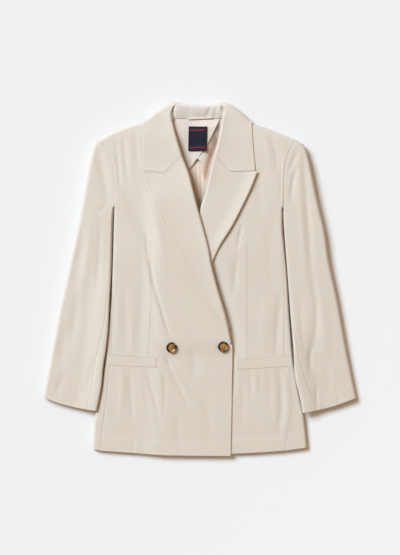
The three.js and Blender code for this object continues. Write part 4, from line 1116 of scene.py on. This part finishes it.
amber = tortoiseshell.make("ShaderNodeValToRGB", {"ramp": [
    (0.30, (0.10, 0.035, 0.008)), (0.42, (0.22, 0.085, 0.02)), (0.54, (0.36, 0.16, 0.04)),
    (0.66, (0.50, 0.27, 0.085)), (0.80, (0.60, 0.40, 0.18))]}, {0: blotch * 0.6 + streak * 0.4})[0]
smoke = stitched(tortoiseshell, buttonWhere, button["smoke"], button["smokeWide"]) + 0.35 * (0.5 - blotch)
smoke = (smoke * 3.2 - 0.75).calc("MAXIMUM", 0.0).calc("MINIMUM", 1.0)
tortoiseshell.set(Base_Color=tortoiseshell.tint(smoke, amber, (0.010, 0.008, 0.010)),
                  Roughness=0.3 + 0.12 * streak)
threadShade = Shade("buttonThread", Roughness=0.8)
threadWave = threadShade.bands(threadShade.place(), 900.0, "DIAGONAL")
threadShade.set(Base_Color=threadShade.tint(threadWave, (0.42, 0.29, 0.15), (0.62, 0.47, 0.28)),
                Normal=threadShade.bump(threadWave, 0.5, 0.0002))


def turnedDisc(name, profile, count=button["sides"]):
    verts = [(0, 0, profile[0][1])]
    for r, z in profile[1:-1]:
        verts += [(r * math.cos(2 * math.pi * k / count), r * math.sin(2 * math.pi * k / count), z)
                  for k in range(count)]
    verts.append((0, 0, profile[-1][1]))
    rings = len(profile) - 2
    faces = [(0, 1 + (k + 1) % count, 1 + k) for k in range(count)]
    for i in range(rings - 1):
        a = 1 + i * count
        faces += [(a + k, a + (k + 1) % count, a + count + (k + 1) % count, a + count + k)
                  for k in range(count)]
    last = 1 + (rings - 1) * count
    faces += [(last + k, last + (k + 1) % count, len(verts) - 1) for k in range(count)]
    return meshObject(name, [(x * mm, y * mm, z * mm) for x, y, z in verts], faces)


def across(along):
    return np.array([-along[1], along[0]]) / np.linalg.norm(along)


def strand(name, a, b, rise, radius=button["thread"], count=14, sides=8):
    # thread arching from hole to hole
    verts, faces = [], []
    along = np.array(b) - np.array(a)
    side = across(along)
    for i in range(count + 1):
        q = i / count
        x, y = np.array(a) + along * q
        z = -1.0 + (rise + 1.0) * math.sin(math.pi * q) ** 0.35
        for k in range(sides):
            c, s = math.cos(2 * math.pi * k / sides) * radius, math.sin(2 * math.pi * k / sides) * radius
            verts.append(((x + side[0] * c) * mm, (y + side[1] * c) * mm, (z + s) * mm))
    for i in range(count):
        for k in range(sides):
            p, r = i * sides + k, i * sides + (k + 1) % sides
            faces.append((p, r, r + sides, p + sides))
    faces += [tuple(range(sides))[::-1], tuple(range(count * sides, (count + 1) * sides))]
    return meshObject(name, verts, faces)


for label, (place, turn) in button["places"].items():
    centre = toMm([place])[0]
    ring = np.linspace(0, 2 * math.pi, 24, endpoint=False)
    around = np.array([centre + r * np.array([math.cos(a), math.sin(a)])
                       for a in ring for r in button["seatRings"]])
    seat = float(overTop(around[:, 0], around[:, 1]).max()) + button["seat"]
    disc = turnedDisc("button" + label, button["profile"])
    for hx, hy in ((1, 1), (-1, 1), (-1, -1), (1, -1)):
        drill = turnedDisc("drill", [[0, -2], [button["hole"], -2], [button["hole"] + 0.1, 7], [0, 7]], 20)
        drill.location = (hx * button["spread"] * mm, hy * button["spread"] * mm, 0)
        cut = disc.modifiers.new("hole", "BOOLEAN")
        cut.operation, cut.object, cut.solver = "DIFFERENCE", drill, "EXACT"
        bpy.context.view_layer.update()
        made = bpy.data.meshes.new_from_object(disc.evaluated_get(bpy.context.evaluated_depsgraph_get()))
        disc.modifiers.clear()
        disc.data = made
        bpy.data.objects.remove(drill)
    disc.data.name = "button" + label
    put = Matrix.Translation((centre[0] * mm, centre[1] * mm, seat * mm)) @ Matrix.Rotation(turn, 4, "Z")
    disc.data.transform(put)
    disc.data.shade_smooth()
    crispEdges = disc.modifiers.new("edges", "EDGE_SPLIT")
    crispEdges.split_angle = math.radians(button["splitAngle"])
    finishPiece(disc, "button_" + label.lower(), "button", tortoiseshell.material)
    s = button["spread"]
    for k, (a, b) in enumerate((((-s, -s), (s, s)), ((-s, s), (s, -s)))):
        for j, shift in enumerate((-button["threadPair"], button["threadPair"])):
            side = across(np.array(b) - np.array(a)) * shift
            piece = strand(f"thread{label}{k}{j}", np.array(a) + side, np.array(b) + side,
                           button["threadRise"][k])
            piece.data.transform(put)
            piece.data.shade_smooth()
            finishPiece(piece, None, "cloth", threadShade.material)
holeEnd = strand("buttonholeEnd", *toMm(button["holeEnd"]), 0)
holeSpot = toMm([[216.5, 346.2]])[0]
holeEnd.data.transform(Matrix.Translation((0, 0, (float(overTop(holeSpot[:1], holeSpot[1:])[0]) + 0.1) * mm)))
holeEnd.data.shade_smooth()
finishPiece(holeEnd, None, "cloth", threadShade.material)
print("buttons ready")

# Studio: pale floor, warm fill all round, a soft cool light from the upper left whose power is split
# between an area lamp and a wide sun, and the camera straight above.
studio = {
    "sky": (1.0, 0.70, 0.45), "fill": 0.465, "paleSky": (0.87, 0.87, 0.865), "keyTint": (0.73, 0.877, 1.0),
    "power": 206, "keySize": 2.6, "sun": 2.13, "sunAngle": 27, "keyFrom": (-2.94, 2.67, 3.86),
    "floorTone": 0.905, "floorHalf": 8, "floorDrop": 0.0002, "evenReach": 0.6,
    "height": 3.0, "photoMiddle": (200, 277.5), "photoTall": 555, "sensor": 36, "focusHeight": 0.012,
}
floorMesh = bpy.data.meshes.new("floor")
floorMesh.from_pydata([(x * studio["floorHalf"], y * studio["floorHalf"], 0) for x, y in (
    (-1, -1), (1, -1), (1, 1), (-1, 1))], [], [(0, 1, 2, 3)])
floor = bpy.data.objects.new("floor", floorMesh)
bpy.context.scene.collection.objects.link(floor)
floor.location.z = -studio["floorDrop"]
floorShade = Shade("paleFloor", Roughness=0.9, Specular_IOR_Level=0.0)
keyFar = math.dist(studio["keyFrom"], (0, 0, 0))


def floorColour(reach):
    # the tone that stays even under a light this far away
    direct = studio["power"] * studio["keyFrom"][2] / (math.pi ** 2 * reach ** 3) + (
        studio["sun"] * studio["keyFrom"][2] / (keyFar * math.pi))
    return tuple(studio["floorTone"] / (studio["fill"] * s + direct * k)
                 for s, k in zip(studio["sky"], studio["keyTint"]))


floorReach = floorShade.make("ShaderNodeVectorMath", {"operation": "DISTANCE"}, {
    0: floorShade.place(), 1: studio["keyFrom"]})["Value"]
nearReach, farReach = keyFar - studio["evenReach"], keyFar + studio["evenReach"]
floorShade.set(Base_Color=floorShade.tint((floorReach - nearReach) / (2 * studio["evenReach"]),
                                          floorColour(nearReach), floorColour(farReach)))
floor.data.materials.append(floorShade.material)

world = bpy.data.worlds.new("studio")
world.use_nodes = True
background = world.node_tree.nodes["Background"]
background.inputs[0].default_value = (*studio["sky"], 1)
background.inputs[1].default_value = studio["fill"]
paleSky = world.node_tree.nodes.new("ShaderNodeBackground")
paleSky.inputs[0].default_value = (*studio["paleSky"], 1)
skyMix = world.node_tree.nodes.new("ShaderNodeMixShader")
skyRay = world.node_tree.nodes.new("ShaderNodeLightPath")
for outlet, inlet in (
        (skyRay.outputs["Is Camera Ray"], skyMix.inputs[0]), (background.outputs[0], skyMix.inputs[1]),
        (paleSky.outputs[0], skyMix.inputs[2]),
        (skyMix.outputs[0], world.node_tree.nodes["World Output"].inputs[0])):
    world.node_tree.links.new(outlet, inlet)
bpy.context.scene.world = world


def makeLight(name, kind, energy):
    light = bpy.data.objects.new(name, bpy.data.lights.new(name, kind))
    light.data.energy = energy
    light.data.color = studio["keyTint"]
    light.rotation_euler = Vector(studio["keyFrom"]).to_track_quat("Z", "Y").to_euler()
    bpy.context.scene.collection.objects.link(light)
    return light


key = makeLight("key", "AREA", studio["power"])
key.data.shape = "DISK"
key.data.size = studio["keySize"]
key.location = studio["keyFrom"]
makeLight("evenKey", "SUN", studio["sun"]).data.angle = math.radians(studio["sunAngle"])

camera = bpy.data.objects.new("camera", bpy.data.cameras.new("camera"))
camera.location = (*toMm([studio["photoMiddle"]])[0] * mm, studio["height"])
camera.data.sensor_width = studio["sensor"]
camera.data.lens = studio["sensor"] * (studio["height"] - studio["focusHeight"]) / (
    studio["photoTall"] * pattern["square"] * mm)
camera.data.clip_end = 50
bpy.context.scene.collection.objects.link(camera)
bpy.context.scene.camera = camera
bpy.context.scene.view_settings.view_transform = "Standard"
bpy.context.scene.view_settings.look = "None"
